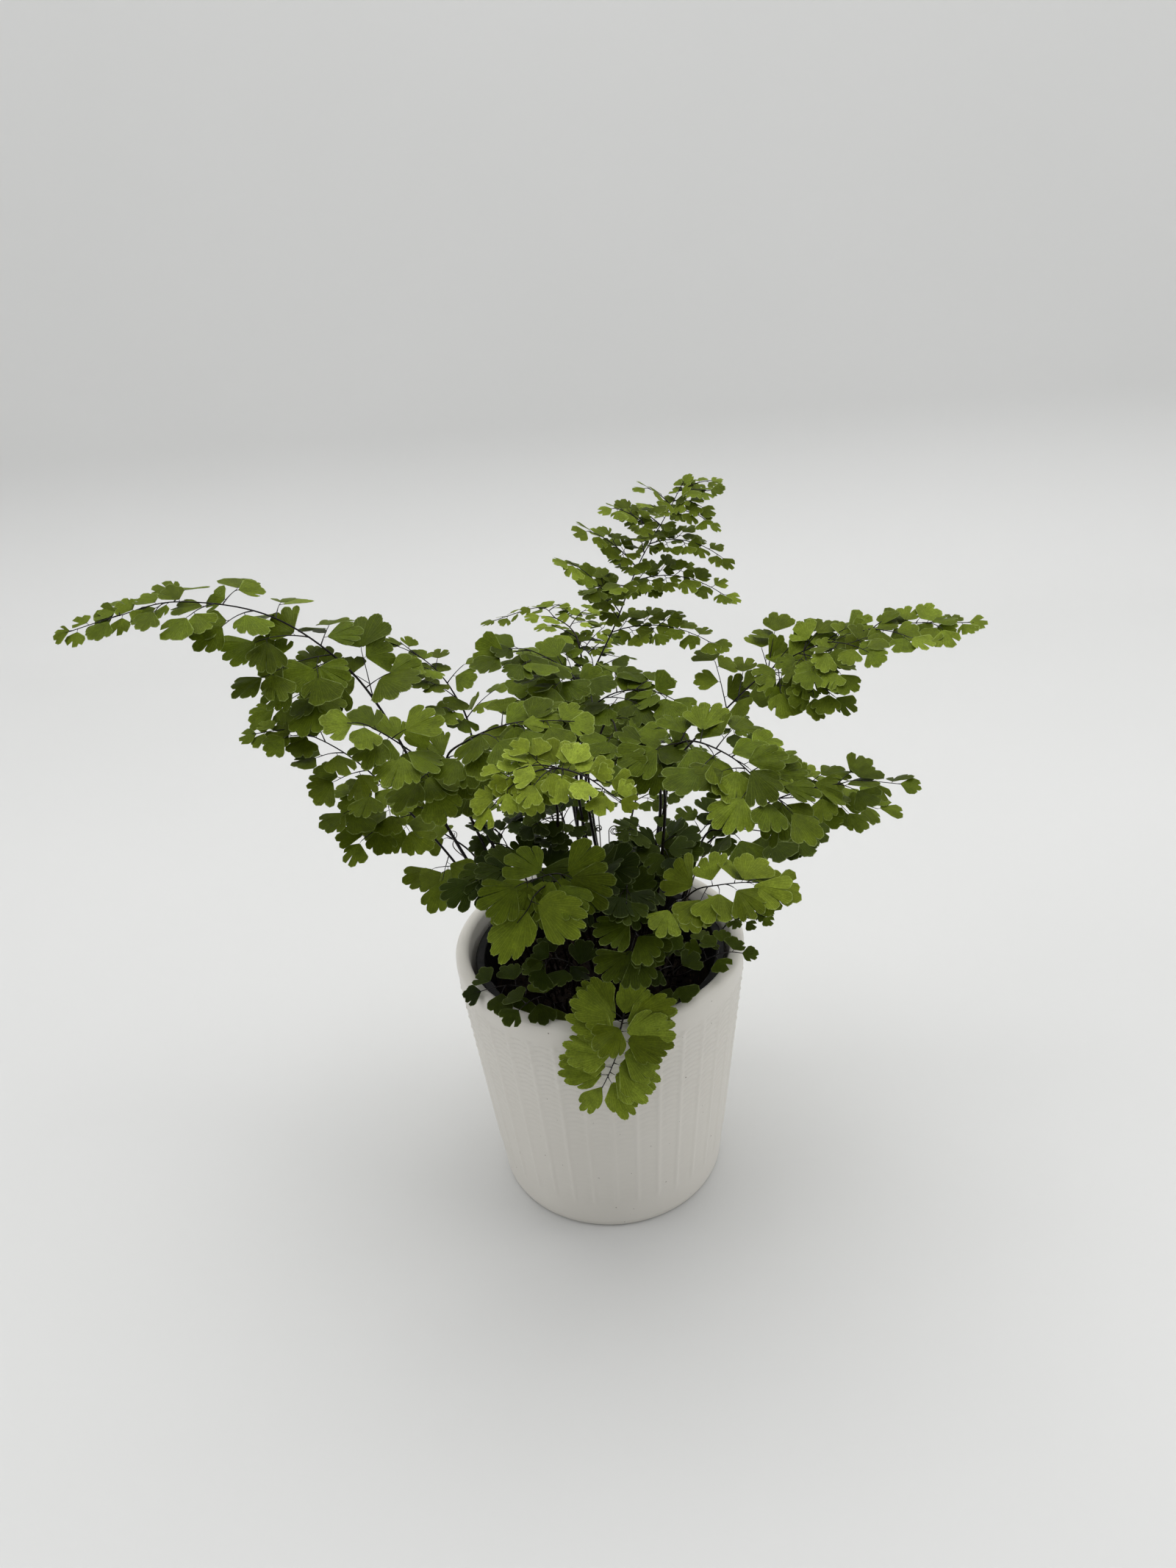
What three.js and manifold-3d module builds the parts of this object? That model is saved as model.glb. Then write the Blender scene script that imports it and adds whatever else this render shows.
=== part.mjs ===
// Potted maidenhair fern: a white ceramic cover pot, the plastic nursery pot inside it,
// potting soil, five rhizome crowns, and the fronds, croziers and dried stalks they carry.
// Millimetres, +Z up, origin at the centre of the cover pot's flat base.
// The plant's front is towards -Y.

import * as THREE from 'three';
import { mergeVertices } from 'three/addons/utils/BufferGeometryUtils.js';
import Module from 'manifold-3d';

const wasm = await Module();
wasm.setup();

// ---------------------------------------------------------------- driving dimensions

const GAP = 0.3; // clearance left between pieces that touch

const COVER = { height: 112.3, baseRadius: 46.8, rimRadius: 57.5, lip: 5.5, floor: 6.5, sides: 36 };
// Roundings of the cover pot's profile, and the wall's thickness at its foot.
const COVER_CORNERS = { foot: 1.5, lipOuter: 1.2, lipInner: 0.8, innerFoot: 2.3, footWall: 5.2 };
const NURSERY = {
  floorRadius: 36, topRadius: 47.6, lipRadius: 50, top: 106, lipDepth: 3, wall: 1.2, sides: 32,
};
const SOIL_TOP = 91;
const SOIL_EDGE = { drop: 2.5, width: 4.2 }; // the soil slopes down to the nursery pot's wall
const CROWN_TOP = 97.3; // stems stand just clear of the crowns, at z = 98
const CROWN_SIDES = 16;

const STEM = { radius: 0.6, sides: 4, stepLength: 20, leastSteps: 5 };
const SPRIG_RADIUS = 0.45; // croziers and dried stalks
const COIL_STEP = 2; // length of one facet along a crozier's coil
const PLATE = 0.6; // thickness of a pinna's leaf surface
// A leaf surface's half-width: so many leaflet lengths, or that share of its length and a little more.
const HALF_WIDTH = { leaflets: 0.85, ofLength: 0.75, more: 3 };
const LOBE_SPACING = 34; // pinna length that holds one pair of leaflets
const MAX_LOBES = 2;
// A lobe's outline as shares of its pitch and half-width; footHalf is in millimetres.
const LOBE = { peak: 0.55, taper: 0.35, waist: 0.45, end: 0.4, footHalf: 0.45 };
const FOOT_CROSSING = 1.2; // volume in mm3 that two branches of a frond may share at their feet
const TIP_START = 0.84; // where the leafy end of a stem begins, as a fraction of its length
const FACING_PER_MM = 0.008; // added to a branch's facing for each millimetre that it comes forward

// Other ways to place a pinna that would touch a neighbour: a roll about its own axis
// in degrees, and a share of its full size.
const PLACINGS = [[0, 1], [25, 1], [-25, 1], [50, 1], [-50, 1], [0, 0.75], [35, 0.75], [-35, 0.75],
  [75, 0.75], [-75, 0.75], [0, 0.5], [50, 0.5], [-50, 0.5]];

// Rhizome crowns: centre x, y and half-widths.
const CROWNS = {
  crown_left: [-25.5, 2.5, 11.5, 11.5],
  crown_centre: [-0.5, 8.5, 12.8, 12.8],
  crown_right: [22.5, 1, 9.9, 14.4],
  crown_front_left: [-15.5, -17.3, 9.4, 10.4],
  crown_front_right: [9, -20, 10.4, 8.4],
};

// Fronds. stem: the route of the stem, from its crown to the tip of the frond.
// pinnae: each side branch as [share of the stem's length, its tip, rise of its arch].
// leaf: leaflet length. facing: 0 holds the leaflets level, 1 turns them to the front.
const FRONDS = {
  long_left: { leaf: 13, facing: 0.4,
    stem: [[-27, 4, 98], [-46, 2, 143], [-58, -2, 178], [-71, -8, 220], [-83, -13, 243],
      [-102, -18, 261], [-127, -24, 269], [-145, -28, 267], [-161, -32, 264]],
    pinnae: [[0.55, [-79, 10, 244], 6], [0.57, [-59, 0, 232], 3], [0.63, [-102, -25, 234], 4],
      [0.66, [-85, 8, 249], 2], [0.68, [-110, -30, 253], 5], [0.73, [-101, 5, 257], 3],
      [0.76, [-115, -36, 260], 4], [0.8, [-112, 0, 265], 2], [0.81, [-124, -38, 265], 3],
      [0.86, [-126, -10, 269], 2], [0.87, [-133, -36, 266], 3], [0.93, [-148, -18, 266], 2],
      [0.93, [-148, -36, 266], 2], [0.64, [-110, -32, 240], 5], [0.6, [-112, -18, 222], 5],
      [0.6, [-96, -8, 223], 3]] },
  second_left: { leaf: 12, facing: 0.38,
    stem: [[-31, -2, 98], [-49, -6, 147], [-66, -12, 181], [-81, -18, 206], [-97, -24, 221],
      [-111, -28, 223]],
    pinnae: [[0.45, [-60, -2, 165], 2], [0.37, [-66, -20, 158], 3], [0.41, [-56, -30, 156], 2],
      [0.56, [-86, -35, 177], 6], [0.61, [-90, -32, 189], 6], [0.72, [-90, -34, 203], 3],
      [0.79, [-94, -34, 213], 3], [0.84, [-95, -12, 223], 2], [0.87, [-103, -34, 223], 2],
      [0.67, [-76, -36, 198], 3]] },
  left_front: { leaf: 15, facing: 0.5,
    stem: [[-24, -5, 98], [-43, -22, 183], [-49, -36, 206], [-58, -48, 224], [-67, -56, 236],
      [-72, -60, 239]],
    pinnae: [[0.74, [-56, -60, 214], 3], [0.8, [-48, -55, 204], 3], [0.85, [-57, -64, 224], 3],
      [0.89, [-50, -50, 231], 3], [0.92, [-64, -64, 231], 2], [0.63, [-36, -48, 206], 2],
      [0.71, [-54, -42, 225], 3]] },
  left_to_middle: { leaf: 14, facing: 0.45,
    stem: [[-19, -3, 98], [-40, -20, 181], [-47, -34, 210], [-37, -48, 225], [-23, -60, 235],
      [-12, -66, 238], [-3, -70, 239]],
    pinnae: [[0.66, [-36, -60, 222], 4], [0.77, [-31, -66, 225], 4], [0.8, [-24, -72, 233], 3],
      [0.86, [-25, -46, 235], 2], [0.89, [-16, -76, 236], 3], [0.93, [-13, -54, 238], 2],
      [0.95, [-10, -78, 239], 2], [0.58, [-52, -40, 212], 2], [0.61, [-34, -52, 213], 3],
      [0.65, [-51, -30, 216], 3]] },
  back_left: { leaf: 11, facing: 0.2,
    stem: [[-25, 10, 98], [-42, 24, 160], [-45, 32, 192], [-50, 35, 206], [-56, 36, 216], [-64, 36, 224],
      [-68, 36, 228]],
    pinnae: [[0.71, [-56, 20, 208], 3], [0.72, [-29, 30, 210], 4], [0.78, [-61, 22, 218], 3],
      [0.83, [-40, 40, 218], 3], [0.86, [-63, 25, 222], 2], [0.88, [-54, 45, 220], 2],
      [0.93, [-73, 28, 231], 2]] },
  left_low_back: { leaf: 13, facing: 0.4,
    stem: [[-32, 6, 98], [-45, 14, 140], [-60, 18, 155], [-63, 20, 164], [-66, 22, 173]],
    pinnae: [[0.69, [-63, 10, 156], 2], [0.8, [-48, 24, 162], 3], [0.86, [-73, 12, 172], 2],
      [0.93, [-58, 28, 172], 2]] },
  tall_top: { leaf: 10, facing: 0.28,
    stem: [[0, 13, 98], [-7, 18, 167], [-7, 20, 186], [2, 26, 209], [14, 33, 230], [24, 38, 251],
      [35, 41, 268], [42, 42, 280]],
    pinnae: [[0.69, [53, 20, 222], 12], [0.73, [-5, 20, 261], 8], [0.79, [57, 22, 240], 12],
      [0.82, [3, 24, 270], 6], [0.87, [56, 28, 253], 9], [0.89, [13, 28, 276], 5],
      [0.93, [51, 30, 266], 7], [0.91, [21, 52, 269], 3], [0.96, [49, 34, 271], 3],
      [0.95, [26, 34, 281], 3], [0.99, [52, 34, 277], 2], [1, [54, 44, 279], 2],
      [0.72, [5, 28, 247], 3], [0.78, [15, 16, 250], 2], [0.85, [24, 26, 266], 2],
      [0.93, [27, 28, 276], 2]] },
  centre_left_top: { leaf: 14, facing: 0.22,
    stem: [[-7, 10, 98], [-5, 8, 172], [-3, 6, 198], [-1, 2, 215], [-3, -4, 226], [-9, -12, 235],
      [-17, -20, 243], [-23, -28, 247]],
    pinnae: [[0.67, [-23, -10, 226], 6], [0.64, [-23, -22, 224], 6], [0.7, [-7, 20, 231], 3],
      [0.74, [-18, 8, 228], 2], [0.77, [-10, -40, 236], 3], [0.82, [-11, -6, 240], 2],
      [0.88, [-21, -38, 243], 3], [0.93, [-29, -36, 245], 3], [0.59, [-13, -10, 211], 3],
      [0.61, [9, 14, 198], 3], [0.64, [-9, 20, 210], 4]] },
  rear_horizontal: { leaf: 9, facing: 0.1,
    stem: [[-4, 17, 98], [-3, 34, 165], [1, 50, 193], [0, 62, 211], [-3, 70, 216], [-9, 78, 218],
      [-16, 84, 221], [-37, 90, 214]],
    pinnae: [[0.68, [13, 80, 213], 3], [0.72, [-15, 66, 220], 3], [0.76, [5, 92, 216], 3],
      [0.81, [-18, 74, 220], 2], [0.84, [-5, 96, 217], 2]] },
  rear_middle: { leaf: 11, facing: 0.2,
    stem: [[5, 15, 98], [0, 30, 170], [4, 44, 192], [5, 54, 206], [3, 62, 210]],
    pinnae: [[0.82, [18, 54, 201], 4], [0.87, [-10, 50, 216], 3], [0.9, [21, 66, 204], 3],
      [0.96, [-4, 68, 213], 2], [0.98, [15, 74, 210], 2], [0.7, [13, 44, 187], 4],
      [0.72, [-8, 40, 195], 4]] },
  centre_right_top: { leaf: 13, facing: 0.22,
    stem: [[5, 6, 98], [-4, 2, 172], [-2, 0, 201], [3, -4, 213], [12, -12, 222], [24, -20, 225],
      [32, -26, 223]],
    pinnae: [[0.71, [14, -24, 215], 4], [0.75, [2, 12, 217], 3], [0.8, [21, -34, 225], 3],
      [0.84, [12, 6, 223], 3], [0.89, [27, -6, 224], 2], [0.94, [29, -36, 226], 2],
      [0.62, [8, -14, 201], 3], [0.64, [-7, 8, 202], 3]] },
  centre_right_low: { leaf: 14, facing: 0.35,
    stem: [[8, 1, 98], [-1, -10, 182], [5, -22, 211], [9, -30, 220], [11, -42, 219], [17, -52, 218],
      [21, -58, 215]],
    pinnae: [[0.78, [18, -38, 222], 3], [0.86, [6, -58, 224], 2], [0.88, [21, -46, 221], 2],
      [0.91, [7, -68, 220], 3], [0.95, [26, -58, 221], 2]] },
  arching_middle: { leaf: 10, facing: 0.68,
    stem: [[-4, 1, 98], [-12, -6, 155], [-12, -16, 180], [-12, -58, 215], [-10, -90, 234],
      [-6, -97, 237], [0, -101, 236], [6, -104, 232], [9, -105, 230]],
    pinnae: [[0.93, [4, -99, 237], 1], [0.94, [-1, -105, 234], 1], [0.95, [9, -100, 232], 1],
      [0.97, [4, -107, 232], 1], [0.9, [-7, -103, 235], 1], [0.91, [-2, -94, 239], 1],
      [0.89, [-10, -92, 239], 1], [0.89, [-12, -101, 234], 1], [0.9, [-5, -93, 238], 1],
      [0.89, [-30, -103, 226], 9], [0.89, [-26, -97, 234], 6], [0.89, [-17, -104, 233], 4],
      [0.89, [-14, -94, 237], 2]] },
  dark_middle: { leaf: 10, facing: 0.3,
    stem: [[-9, 5, 98], [-10, 4, 152], [-11, 0, 168], [-16, -8, 179], [-21, -14, 184]],
    pinnae: [[0.72, [-28, -10, 170], 3], [0.78, [-7, -4, 177], 2], [0.9, [-16, -18, 190], 2],
      [0.94, [-29, -22, 188], 2], [0.65, [-3, 2, 166], 3], [0.62, [-2, 6, 157], 2],
      [0.75, [-24, -14, 170], 3], [0.63, [-17, -10, 163], 2], [0.85, [-28, -4, 173], 2],
      [0.72, [-5, 6, 170], 3]] },
  long_right: { leaf: 14, facing: 0.35,
    stem: [[16, 8, 98], [26, 6, 158], [28, 8, 176], [38, 10, 188], [51, 10, 201], [67, 8, 217],
      [85, 4, 228], [109, -2, 236], [135, -10, 238]],
    pinnae: [[0.55, [49, 26, 221], 4], [0.56, [64, 2, 211], 3], [0.58, [62, 24, 214], 3],
      [0.65, [73, 20, 232], 4], [0.64, [90, -20, 214], 10], [0.72, [85, 14, 232], 2],
      [0.71, [90, -22, 225], 4], [0.78, [95, 8, 234], 2], [0.76, [98, -24, 234], 3],
      [0.83, [113, -22, 237], 3], [0.84, [111, 4, 236], 2], [0.91, [121, -2, 239], 2],
      [0.92, [123, -20, 239], 2], [0.67, [69, -12, 214], 3], [0.72, [80, -18, 213], 4],
      [0.65, [65, 18, 227], 3], [0.66, [81, 12, 228], 3], [0.72, [89, 8, 233], 3],
      [0.76, [99, 2, 235], 3], [0.65, [73, -2, 216], 2]] },
  right_big_leaf: { leaf: 14, facing: 0.48,
    stem: [[20, -2, 98], [26, -26, 179], [24, -46, 210], [31, -60, 225], [43, -70, 224], [53, -78, 216],
      [60, -82, 211]],
    pinnae: [[0.76, [15, -64, 221], 3], [0.78, [28, -50, 226], 2], [0.81, [38, -52, 228], 2],
      [0.84, [50, -54, 228], 2], [0.87, [56, -62, 223], 2], [0.85, [29, -82, 221], 3],
      [0.9, [35, -84, 225], 2], [0.93, [41, -92, 218], 2], [0.91, [58, -66, 218], 2],
      [0.94, [64, -78, 214], 2], [0.96, [62, -90, 208], 2], [0.73, [19, -66, 215], 2],
      [0.69, [13, -52, 222], 3], [0.82, [40, -78, 223], 2], [0.88, [50, -86, 223], 2],
      [0.95, [52, -92, 214], 2], [0.78, [32, -74, 225], 2], [0.93, [62, -72, 217], 2]] },
  right_far: { leaf: 15, facing: 0.4,
    stem: [[26, 5, 98], [38, 4, 136], [44, 6, 147], [63, 8, 160], [81, 8, 167], [95, 6, 170],
      [102, 4, 172], [119, 0, 171]],
    pinnae: [[0.68, [78, 16, 173], 2], [0.71, [95, 14, 173], 2], [0.75, [86, -10, 169], 3],
      [0.81, [105, 14, 172], 2], [0.81, [102, -10, 172], 2], [0.64, [120, 16, 149], 6]] },
  right_under: { leaf: 14, facing: 0.4,
    stem: [[28, -3, 98], [40, -8, 155], [49, -14, 165], [62, -22, 168], [73, -28, 168]],
    pinnae: [[0.68, [50, -4, 167], 2], [0.73, [55, -32, 166], 3], [0.79, [58, -6, 162], 2],
      [0.88, [64, -38, 168], 2], [0.91, [81, -20, 166], 3], [0.97, [74, -34, 167], 1]] },
  right_back: { leaf: 11, facing: 0.2,
    stem: [[20, 13, 98], [30, 26, 156], [38, 40, 175], [47, 50, 181], [62, 56, 174], [77, 60, 163]],
    pinnae: [[0.59, [31, 44, 182], 3], [0.66, [34, 56, 181], 3], [0.73, [59, 64, 178], 2],
      [0.79, [67, 64, 174], 2], [0.86, [61, 46, 171], 2]] },
  right_low_front: { leaf: 14, facing: 0.5,
    stem: [[24, -9, 98], [27, -26, 139], [31, -38, 152], [35, -46, 161], [41, -52, 166], [50, -56, 169],
      [61, -58, 169]],
    pinnae: [[0.57, [21, -56, 157], 2], [0.7, [29, -42, 161], 2], [0.76, [32, -66, 164], 2],
      [0.78, [40, -44, 165], 2], [0.83, [49, -66, 169], 2], [0.86, [49, -46, 167], 2],
      [0.9, [59, -50, 167], 1], [0.9, [58, -62, 169], 1], [0.8, [41, -66, 168], 2]] },
  right_inner: { leaf: 11, facing: 0.3,
    stem: [[14, 2, 98], [21, -2, 143], [20, -6, 159], [17, -10, 168]],
    pinnae: [[0.73, [30, -4, 154], 2], [0.71, [10, -16, 163], 2], [0.84, [28, 2, 160], 2],
      [0.89, [12, -18, 171], 1]] },
  right_rim_sprig: { leaf: 6, facing: 0.5,
    stem: [[28, -8, 98], [41, -16, 114], [48, -16, 123], [54, -14, 127], [65, -12, 126]],
    pinnae: [[0.64, [53, -8, 124], 1], [0.74, [57, -20, 127], 1], [0.81, [62, -8, 126], 1],
      [0.89, [64, -18, 127], 1]] },
  right_rim_low: { leaf: 10, facing: 0.5,
    stem: [[25, -12, 98], [32, -26, 110], [41, -28, 118], [48, -28, 120], [54, -28, 119]],
    pinnae: [[0.55, [32, -20, 116], 1], [0.67, [38, -14, 118], 2], [0.74, [45, -34, 120], 1],
      [0.77, [47, -20, 121], 1]] },
  front_hanging: { leaf: 20, facing: 0.95,
    stem: [[8, -24, 98], [8, -40, 112], [7, -54, 116], [5, -61, 113], [4, -64, 108], [1, -65, 100],
      [-2, -65, 93], [-4, -65, 89]],
    pinnae: [[0.55, [-6, -58, 125], 3], [0.55, [9, -55, 122], 3], [0.54, [20, -61, 118], 4],
      [0.57, [-4, -61, 119], 2], [0.58, [14, -61, 115], 2], [0.62, [-7, -63, 116], 2],
      [0.62, [14, -64, 112], 2], [0.68, [-4, -65, 112], 2], [0.66, [16, -65, 105], 2],
      [0.75, [-6, -66, 107], 2], [0.72, [13, -67, 101], 2], [0.82, [-6, -66, 101], 2],
      [0.79, [9, -67, 97], 2], [0.87, [-7, -67, 97], 2], [0.85, [5, -67, 93], 2],
      [0.88, [2, -67, 88], 2], [0.59, [3, -66, 115], 2]] },
  front_left_big: { leaf: 23, facing: 0.9,
    stem: [[-11, -17, 98], [-12, -30, 149], [-13, -40, 164], [-17, -48, 168], [-21, -54, 168],
      [-23, -58, 166], [-27, -62, 163]],
    pinnae: [[0.91, [-14, -65, 163], 4]] },
  front_left_upper: { leaf: 17, facing: 0.8,
    stem: [[-9, -20, 98], [-8, -30, 148], [-11, -37, 164], [-15, -41, 168], [-19, -46, 170],
      [-23, -52, 172]],
    pinnae: [[0.92, [-33, -60, 172], 2], [0.88, [-22, -38, 168], 2], [0.84, [-3, -58, 172], 4],
      [0.78, [-5, -40, 166], 2], [0.86, [-9, -62, 171], 3]] },
  middle_fan: { leaf: 15, facing: 0.4,
    stem: [[-12, -8, 98], [-17, -14, 136], [-19, -22, 156], [-25, -30, 165], [-33, -38, 169]],
    pinnae: [[0.56, [-4, -20, 159], 2], [0.67, [-12, -12, 159], 2], [0.67, [-29, -14, 161], 3],
      [0.8, [-22, -46, 166], 1], [0.85, [-40, -30, 167], 2], [0.9, [-30, -48, 169], 1],
      [0.96, [-49, -42, 164], 2], [0.96, [-44, -34, 164], 2], [0.85, [-12, -36, 164], 2]] },
  front_middle_dark: { leaf: 13, facing: 0.6,
    stem: [[6, -15, 98], [8, -22, 131], [10, -28, 146], [11, -36, 158], [10, -52, 161]],
    pinnae: [[0.52, [1, -28, 158], 2], [0.65, [18, -30, 155], 2], [0.74, [7, -54, 164], 1],
      [0.87, [14, -50, 156], 1]] },
  front_drooping: { leaf: 14, facing: 0.7,
    stem: [[13, -14, 98], [17, -20, 122], [18, -30, 142], [15, -44, 150], [12, -54, 148], [10, -56, 142]],
    pinnae: [[0.49, [24, -38, 140], 2], [0.83, [7, -60, 157], 1], [0.89, [15, -62, 150], 1],
      [0.97, [7, -60, 142], 1], [0.97, [12, -60, 140], 1]] },
  front_small_left: { leaf: 11, facing: 0.6,
    stem: [[1, -24, 98], [-7, -32, 111], [-10, -38, 126], [-17, -42, 133], [-21, -46, 134]],
    pinnae: [[0.57, [-5, -34, 129], 1], [0.73, [-14, -52, 133], 1], [0.84, [-18, -34, 132], 1],
      [0.92, [-22, -54, 134], 1]] },
  left_rim_low: { leaf: 11, facing: 0.5,
    stem: [[-22, -17, 98], [-24, -26, 105], [-32, -32, 114], [-38, -34, 116], [-47, -34, 114]],
    pinnae: [[0.49, [-29, -42, 114], 1], [0.62, [-33, -24, 115], 1], [0.73, [-39, -42, 114], 1],
      [0.82, [-44, -26, 115], 1]] },
  left_rim_front: { leaf: 11, facing: 0.5,
    stem: [[-16, -25, 98], [-15, -34, 102], [-21, -40, 114], [-26, -46, 118], [-32, -50, 116]],
    pinnae: [[0.48, [-17, -48, 111], 1], [0.59, [-23, -34, 115], 1], [0.75, [-22, -50, 114], 1],
      [0.88, [-31, -40, 114], 1]] },
  right_front_inner: { leaf: 11, facing: 0.5,
    stem: [[17, -22, 98], [23, -32, 103], [26, -38, 121], [23, -42, 131]],
    pinnae: [[0.52, [28, -46, 119], 1], [0.69, [33, -36, 124], 1], [0.81, [19, -48, 128], 1],
      [0.95, [28, -38, 132], 1]] },
  inner_left_low: { leaf: 11, facing: 0.25,
    stem: [[-16, -8, 98], [-25, -16, 148], [-30, -14, 160], [-33, -12, 167], [-36, -12, 172]],
    pinnae: [[0.72, [-18, -8, 153], 2], [0.79, [-39, -20, 163], 2], [0.84, [-24, -4, 161], 2],
      [0.88, [-41, -16, 167], 2], [0.94, [-29, -4, 169], 2], [0.95, [-41, -18, 177], 2]] },
  inner_centre_low: { leaf: 14, facing: 0.5,
    stem: [[2, -13, 98], [-2, -20, 140], [0, -25, 152], [1, -29, 159], [3, -34, 164]],
    pinnae: [[0.62, [-9, -34, 161], 2], [0.7, [10, -22, 152], 2], [0.77, [-6, -42, 159], 2],
      [0.81, [8, -42, 158], 2], [0.9, [-2, -22, 161], 2], [0.93, [11, -36, 166], 2],
      [0.98, [1, -44, 163], 1]] },
  inner_right_low: { leaf: 13, facing: 0.4,
    stem: [[16, -9, 98], [17, -8, 133], [20, -9, 146], [23, -10, 155], [26, -12, 160]],
    pinnae: [[0.65, [13, -24, 158], 2], [0.74, [31, -24, 157], 2], [0.79, [16, -16, 160], 2],
      [0.89, [35, -20, 161], 2], [0.95, [21, -14, 164], 2], [1, [35, -16, 167], 2],
      [1, [27, -34, 165], 2]] },
  inner_right_mid: { leaf: 12, facing: 0.3,
    stem: [[21, 5, 98], [33, 4, 139], [39, 3, 151], [44, 1, 159], [47, -1, 164]],
    pinnae: [[0.72, [32, 12, 151], 2], [0.79, [49, -8, 158], 2], [0.85, [38, 10, 159], 2],
      [0.91, [54, -6, 163], 2], [0.94, [44, 8, 163], 2], [0.98, [53, 4, 164], 2]] },
  rear_low_left: { leaf: 10, facing: 0,
    stem: [[-7, 18, 98], [-14, 40, 132], [-20, 62, 148], [-27, 84, 150], [-31, 100, 143]],
    pinnae: [[0.45, [-44, 56, 146], 3], [0.5, [-2, 70, 150], 3], [0.65, [-52, 78, 142], 3],
      [0.72, [-8, 90, 145], 3], [0.85, [-44, 98, 138], 2]] },
  rear_low_right: { leaf: 10, facing: 0,
    stem: [[9, 17, 98], [16, 42, 136], [25, 64, 151], [33, 86, 153], [39, 102, 146]],
    pinnae: [[0.45, [2, 58, 148], 3], [0.5, [46, 62, 146], 3], [0.65, [16, 86, 150], 3],
      [0.7, [56, 84, 144], 3], [0.85, [28, 104, 143], 2], [0.85, [54, 98, 142], 2]] },
};

// Young fronds still coiled: the route of the stalk, then the coil's outer radius.
const CROZIERS = {
  crozier_coiled: { stalk: [[6, 11, 98], [6, 9, 130], [6.5, 6, 156]], coil: 2.3 },
  crozier_slim: { stalk: [[3, 15, 98], [3, 13, 130], [3, 11, 163]], coil: 1.6 },
  crozier_short: { stalk: [[10, 5, 98], [5, 4, 130], [1, 5, 158]], coil: 1.5 },
};

// Bare stalks whose leaflets have dried off: a main stalk and its curled forks.
const DRIED_STALKS = {
  dried_stalk_left: [
    [[-20, 7, 98], [-43, 7, 134], [-47, 8, 144], [-43, 8, 157]],
    [[-47, 8, 144], [-54, 7, 153], [-52, 6, 159]],
    [[-45, 8, 150], [-41, 5, 156], [-40, 4, 164]]],
  dried_stalk_centre: [
    [[-11, 8, 98], [-11, 12, 165], [-6, 14, 194], [-1, 16, 201]],
    [[-8.5, 13, 180], [-13, 15, 192], [-14, 16, 197]]],
  dried_stalk_right: [
    [[29, 2, 98], [40, 14, 128], [47, 18, 140], [50, 16, 147]],
    [[44, 16.5, 135], [50, 20, 138], [54, 20, 136]]],
};

// ---------------------------------------------------------------- materials

const finish = (color, roughness, metalness = 0) =>
  new THREE.MeshStandardMaterial({ color, roughness, metalness });

const GLAZE = finish('#dddcd6', 0.25);
const BLACK_PLASTIC = finish('#1b1b1c', 0.55);
const SOIL = finish('#2c2219', 0.95);
const RHIZOME = finish('#3a2a1c', 0.9);
const FROND_GREEN = finish('#5e7428', 0.6);
const YOUNG_STALK = finish('#4a4a26', 0.5);
const DRY_STALK = finish('#3b2c22', 0.7);

// ---------------------------------------------------------------- shaping helpers

/** Closed mesh to solid: only positions are kept and shared corners are merged. */
function toSolid(geometry) {
  geometry.deleteAttribute('normal');
  geometry.deleteAttribute('uv');
  const merged = mergeVertices(geometry);
  return new wasm.Manifold(new wasm.Mesh({
    numProp: 3,
    vertProperties: merged.attributes.position.array,
    triVerts: Uint32Array.from(merged.index.array),
  }));
}

/** The outer skin of a solid, without pockets closed in where surfaces cross. */
const withoutPockets = (solid) =>
  solid.decompose().reduce((largest, piece) => (piece.volume() > largest.volume() ? piece : largest));

function toGeometry(solid) {
  const mesh = withoutPockets(solid).getMesh();
  const geometry = new THREE.BufferGeometry();
  geometry.setAttribute('position', new THREE.BufferAttribute(mesh.vertProperties, 3));
  geometry.setIndex(new THREE.BufferAttribute(mesh.triVerts, 1));
  geometry.computeVertexNormals();
  return geometry;
}

function regularPolygon(radius, sides) {
  const corners = [];
  for (let i = 0; i < sides; i += 1) {
    const turn = (2 * Math.PI * i) / sides;
    corners.push(new THREE.Vector2(radius * Math.cos(turn), radius * Math.sin(turn)));
  }
  return new THREE.Shape(corners);
}

const route = (points) =>
  new THREE.CatmullRomCurve3(points.map((p) => new THREE.Vector3(...p)), false, 'catmullrom', 0.5);

function tube(curve, radius, stepLength = STEM.stepLength) {
  const steps = Math.max(STEM.leastSteps, Math.round(curve.getLength() / stepLength));
  const section = regularPolygon(radius, STEM.sides);
  return toSolid(new THREE.ExtrudeGeometry(section, { steps, extrudePath: curve, bevelEnabled: false }));
}

const turned = (profile, sides) =>
  new THREE.LatheGeometry(profile.map(([r, z]) => new THREE.Vector2(r, z)), sides).rotateX(Math.PI / 2);

/** Outline of a pinna's leaf surface: a narrow foot, paired lobes, and a rounded end. */
function lobedOutline(length, halfWidth) {
  const lobes = THREE.MathUtils.clamp(Math.round(length / LOBE_SPACING), 1, MAX_LOBES);
  const pitch = length / lobes;
  const side = [];
  for (let i = 0; i < lobes; i += 1) {
    const taper = 1 - (LOBE.taper * i) / lobes;
    side.push([(i + LOBE.peak) * pitch, halfWidth * taper]);
    if (i < lobes - 1) side.push([(i + 1) * pitch, halfWidth * LOBE.waist * taper]);
  }
  const endHalf = halfWidth * LOBE.end;
  const end = length + endHalf;
  const right = [[0, -LOBE.footHalf], ...side.map(([x, y]) => [x, -y])];
  const left = [...side.map(([x, y]) => [x, y]).reverse(), [0, LOBE.footHalf]];
  return new THREE.Shape([...right, [end, -endHalf], [end, endHalf], ...left]
    .map(([x, y]) => new THREE.Vector2(x, y)));
}

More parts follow.
